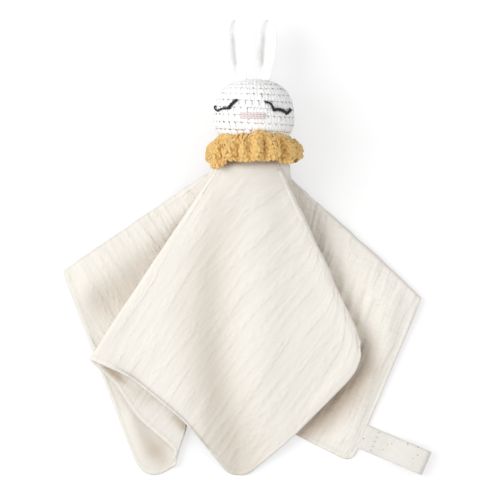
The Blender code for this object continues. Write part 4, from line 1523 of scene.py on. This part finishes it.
class LOVEY_OT_ears(bpy.types.Operator):
    """Crochets both ears and sews them to the crown"""

    bl_idname = "lovey.ears"
    bl_label = "Ears"

    def execute(self, context):
        settings = context.scene.lovey_crochet
        yarn = yarn_material("ear_cotton_yarn", tuple(settings.head_colour), dark=0.98, relief=0.14)
        for name, (x, pinch, lean) in EAR_PLACES.items():
            hinge, place = ear_places(x, pinch, lean)
            rows = ear_stitch_rows(place, *EAR_STITCH)
            backing, groove = ear_backing(name, place, EAR_THICKNESS)
            ear = crochet_piece(name + "_crochet", backing, rows, yarn,
                                SINGLE_STITCH, settings.wobble, groove)
            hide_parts(name)
            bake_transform(ear)
        return {"FINISHED"}


class LOVEY_OT_ruffle(bpy.types.Operator):
    """Crochets the gathered ruffle round the neck"""

    bl_idname = "lovey.ruffle"
    bl_label = "Ruffle"

    def execute(self, context):
        settings = context.scene.lovey_crochet
        # The backing in the ruffle's creases is painted a darker orange-brown, as their shade
        yarn = yarn_material("ochre_cotton_yarn", tuple(settings.ruffle_colour), dark=0.93,
                             relief=0.5, gap=(0.62, 0.46, 0.30))
        ruffle = crochet_piece("ruffle_crochet", ruffle_backing(RUFFLE_THICKNESS),
                               ruffle_stitch_rows(*RUFFLE_STITCH), yarn, BOBBLE_STITCH,
                               RUFFLE_WOBBLE)
        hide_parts("ruffle_collar")
        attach(ruffle, "collar")
        return {"FINISHED"}


class LOVEY_OT_face(bpy.types.Operator):
    """Embroiders the closed eyes and the nose"""

    bl_idname = "lovey.face"
    bl_label = "Face"

    def execute(self, context):
        settings = context.scene.lovey_trim
        black = yarn_material("black_cotton_yarn", tuple(settings.eye_colour), 2, 5.0, 0.5)
        pink = yarn_material("pink_cotton_yarn", tuple(settings.nose_colour), 2, 5.0, 0.82)
        for name, rows, weights in (("eye_left", EYE_LEFT_SHARES, EYE_LEFT_WEIGHTS),
                                    ("eye_right", EYE_RIGHT_SHARES, EYE_RIGHT_WEIGHTS)):
            strands = backstitches(rows, weights, settings.eye_radius, EYE_STAND_OFF,
                                   EYE_SUNK_ENDS)
            eye = new_piece(name + "_yarn", strands_mesh(name, strands))
            eye.data.materials.append(black)
            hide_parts(name)
            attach(eye, "head")
        strands = []
        for lift in NOSE_LIFTS:
            rows = [(degrees, share + lift / CROWN_HEIGHT) for degrees, share in NOSE_SHARES]
            line = smooth_line([on_head(d, s, NOSE_STAND_OFF) for d, s in rows], 30)
            strands += plied_strands(line, NOSE_RADIUS, 2, NOSE_PITCH)
        nose = new_piece("nose_yarn", strands_mesh("nose", strands))
        nose.data.materials.append(pink)
        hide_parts("nose")
        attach(nose, "head")
        return {"FINISHED"}


class LOVEY_OT_neck(bpy.types.Operator):
    """Sews the head to the middle of the square"""

    bl_idname = "lovey.neck"
    bl_label = "Neck Stitches"

    def execute(self, context):
        settings = context.scene.lovey_crochet
        thread = yarn_material("neck_sewing_yarn", tuple(settings.head_colour))
        ring = [round_neck(turn, KNOT_RADIUS, KNOT_LIFT)
                for turn in np.linspace(0, math.tau, 49)]

        def away(place):
            return Vector((place.x - NECK.x, 0, place.z - NECK.z))

        strands = whip_stitches(ring, away, KNOT_STITCH_WIDTH, KNOT_YARN_RADIUS, KNOT_SPACING)
        knot = new_piece("neck_stitches", strands_mesh("neck_stitches", strands))
        knot.data.materials.append(thread)
        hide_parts("neck_knot")
        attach(knot, "collar")
        return {"FINISHED"}


class LOVEY_OT_tape(bpy.types.Operator):
    """Folds the cotton tape into the loop and tacks its legs together"""

    bl_idname = "lovey.tape"
    bl_label = "Tape Loop"

    def execute(self, context):
        settings = context.scene.lovey_trim
        cotton = tape_material(tuple(settings.tape_colour), (0.58, 0.50, 0.38))
        tape = new_piece("tape_loop_cotton", tape_mesh())
        tape.data.materials.append(cotton)
        place = tape_frame()
        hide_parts("loop_tape")
        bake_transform(tape)
        thread = yarn_material("tack_thread", tuple(settings.tape_colour), 2, 9.0, 0.8)
        strands = []
        reach = TAPE_REACH * TAPE_FLAT_SHARE * 0.55
        top = TAPE_THICKNESS * 2 + TAPE_LEG_GAP
        for step in range(5):
            across = (step / 4 - 0.5) * TAPE_WIDTH * 0.78
            points = [place @ Vector((reach + x, across + x * 0.3, top + z)) for x, z in TACK_ARCH]
            strands.append((smooth_line(points, 7), [TACK_RADIUS] * 7))
        tack = new_piece("tack_stitches", strands_mesh("tack_stitches", strands))
        tack.data.materials.append(thread)
        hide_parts("loop_tack")
        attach(tack, "tape_loop")
        return {"FINISHED"}


class LOVEY_OT_stage(bpy.types.Operator):
    """Sets the pale surface, the soft lamps and the camera overhead"""

    bl_idname = "lovey.stage"
    bl_label = "Stage"

    def execute(self, context):
        scene = context.scene
        scene.view_settings.view_transform = "Standard"
        mesh = mesh_of("surface", [(x * FLOOR_SIZE, y * FLOOR_SIZE, 0) for x, y in
                                   ((-1, -1), (1, -1), (1, 1), (-1, 1))],
                       [(0, 1, 2, 3)], smooth=False)
        surface = new_piece("surface", mesh)
        material, tree, shader = new_material("pale_surface", (FLOOR_GREY,) * 3, 0.9, 0.0)
        shader.inputs["Specular IOR Level"].default_value = 0.1
        path = tree.nodes.new("ShaderNodeLightPath")
        glow = math_node(tree, "MULTIPLY", path.outputs["Is Camera Ray"], FLOOR_GLOW)
        shader.inputs["Emission Color"].default_value = (1, 1, 1, 1)
        tree.links.new(glow, shader.inputs["Emission Strength"])
        mesh.materials.append(material)

        world = bpy.data.worlds.new("soft_daylight")
        world.use_nodes = True
        sky = world.node_tree.nodes["Background"]
        sky.inputs["Color"].default_value = (1, 1, 1, 1)
        sky.inputs["Strength"].default_value = SKY_STRENGTH
        scene.world = world

        for name, place, size, power in LAMPS:
            lamp_data = bpy.data.lights.new(name, "AREA")
            lamp_data.size = size
            lamp_data.energy = power
            lamp = new_piece(name, lamp_data)
            lamp.location = place
            lamp.visible_camera = False
            lamp.rotation_mode = "QUATERNION"
            lamp.rotation_quaternion = (-Vector(place)).to_track_quat("-Z", "Y")

        camera_data = bpy.data.cameras.new("overhead")
        camera_data.sensor_width = 36.0
        camera_data.lens = camera_data.sensor_width * VIEW_DISTANCE / VIEW_WIDTH
        camera_data.clip_end = VIEW_DISTANCE * 5
        camera = new_piece("overhead", camera_data)
        camera.location = (*VIEW_CENTRE, VIEW_DISTANCE)
        scene.camera = camera
        return {"FINISHED"}


STEPS = ("cloth", "head", "ears", "ruffle", "face", "neck", "tape", "stage")


class LOVEY_PT_panel(bpy.types.Panel):
    """Lists the comforter's pieces"""

    bl_idname = "LOVEY_PT_panel"
    bl_label = "Comfort Blanket Lovey"
    bl_space_type = "VIEW_3D"
    bl_region_type = "UI"
    bl_category = "Lovey"

    def draw(self, context):
        layout = self.layout
        for name in ("lovey_cloth", "lovey_crochet", "lovey_trim"):
            group = getattr(context.scene, name)
            for key in group.bl_rna.properties.keys():
                if key not in ("rna_type", "name"):
                    layout.prop(group, key)
        for step in STEPS:
            layout.operator("lovey." + step)


CLASSES = (
    LoveyCloth, LoveyCrochet, LoveyTrim, LOVEY_OT_cloth, LOVEY_OT_head, LOVEY_OT_ears,
    LOVEY_OT_ruffle, LOVEY_OT_face, LOVEY_OT_neck, LOVEY_OT_tape, LOVEY_OT_stage, LOVEY_PT_panel,
)


def register():
    for item in CLASSES:
        bpy.utils.register_class(item)
    bpy.types.Scene.lovey_cloth = bpy.props.PointerProperty(type=LoveyCloth)
    bpy.types.Scene.lovey_crochet = bpy.props.PointerProperty(type=LoveyCrochet)
    bpy.types.Scene.lovey_trim = bpy.props.PointerProperty(type=LoveyTrim)


def unregister():
    del bpy.types.Scene.lovey_trim
    del bpy.types.Scene.lovey_crochet
    del bpy.types.Scene.lovey_cloth
    for item in reversed(CLASSES):
        bpy.utils.unregister_class(item)


def main():
    register()
    for step in STEPS:
        getattr(bpy.ops.lovey, step)()


if __name__ == "__main__":
    main()
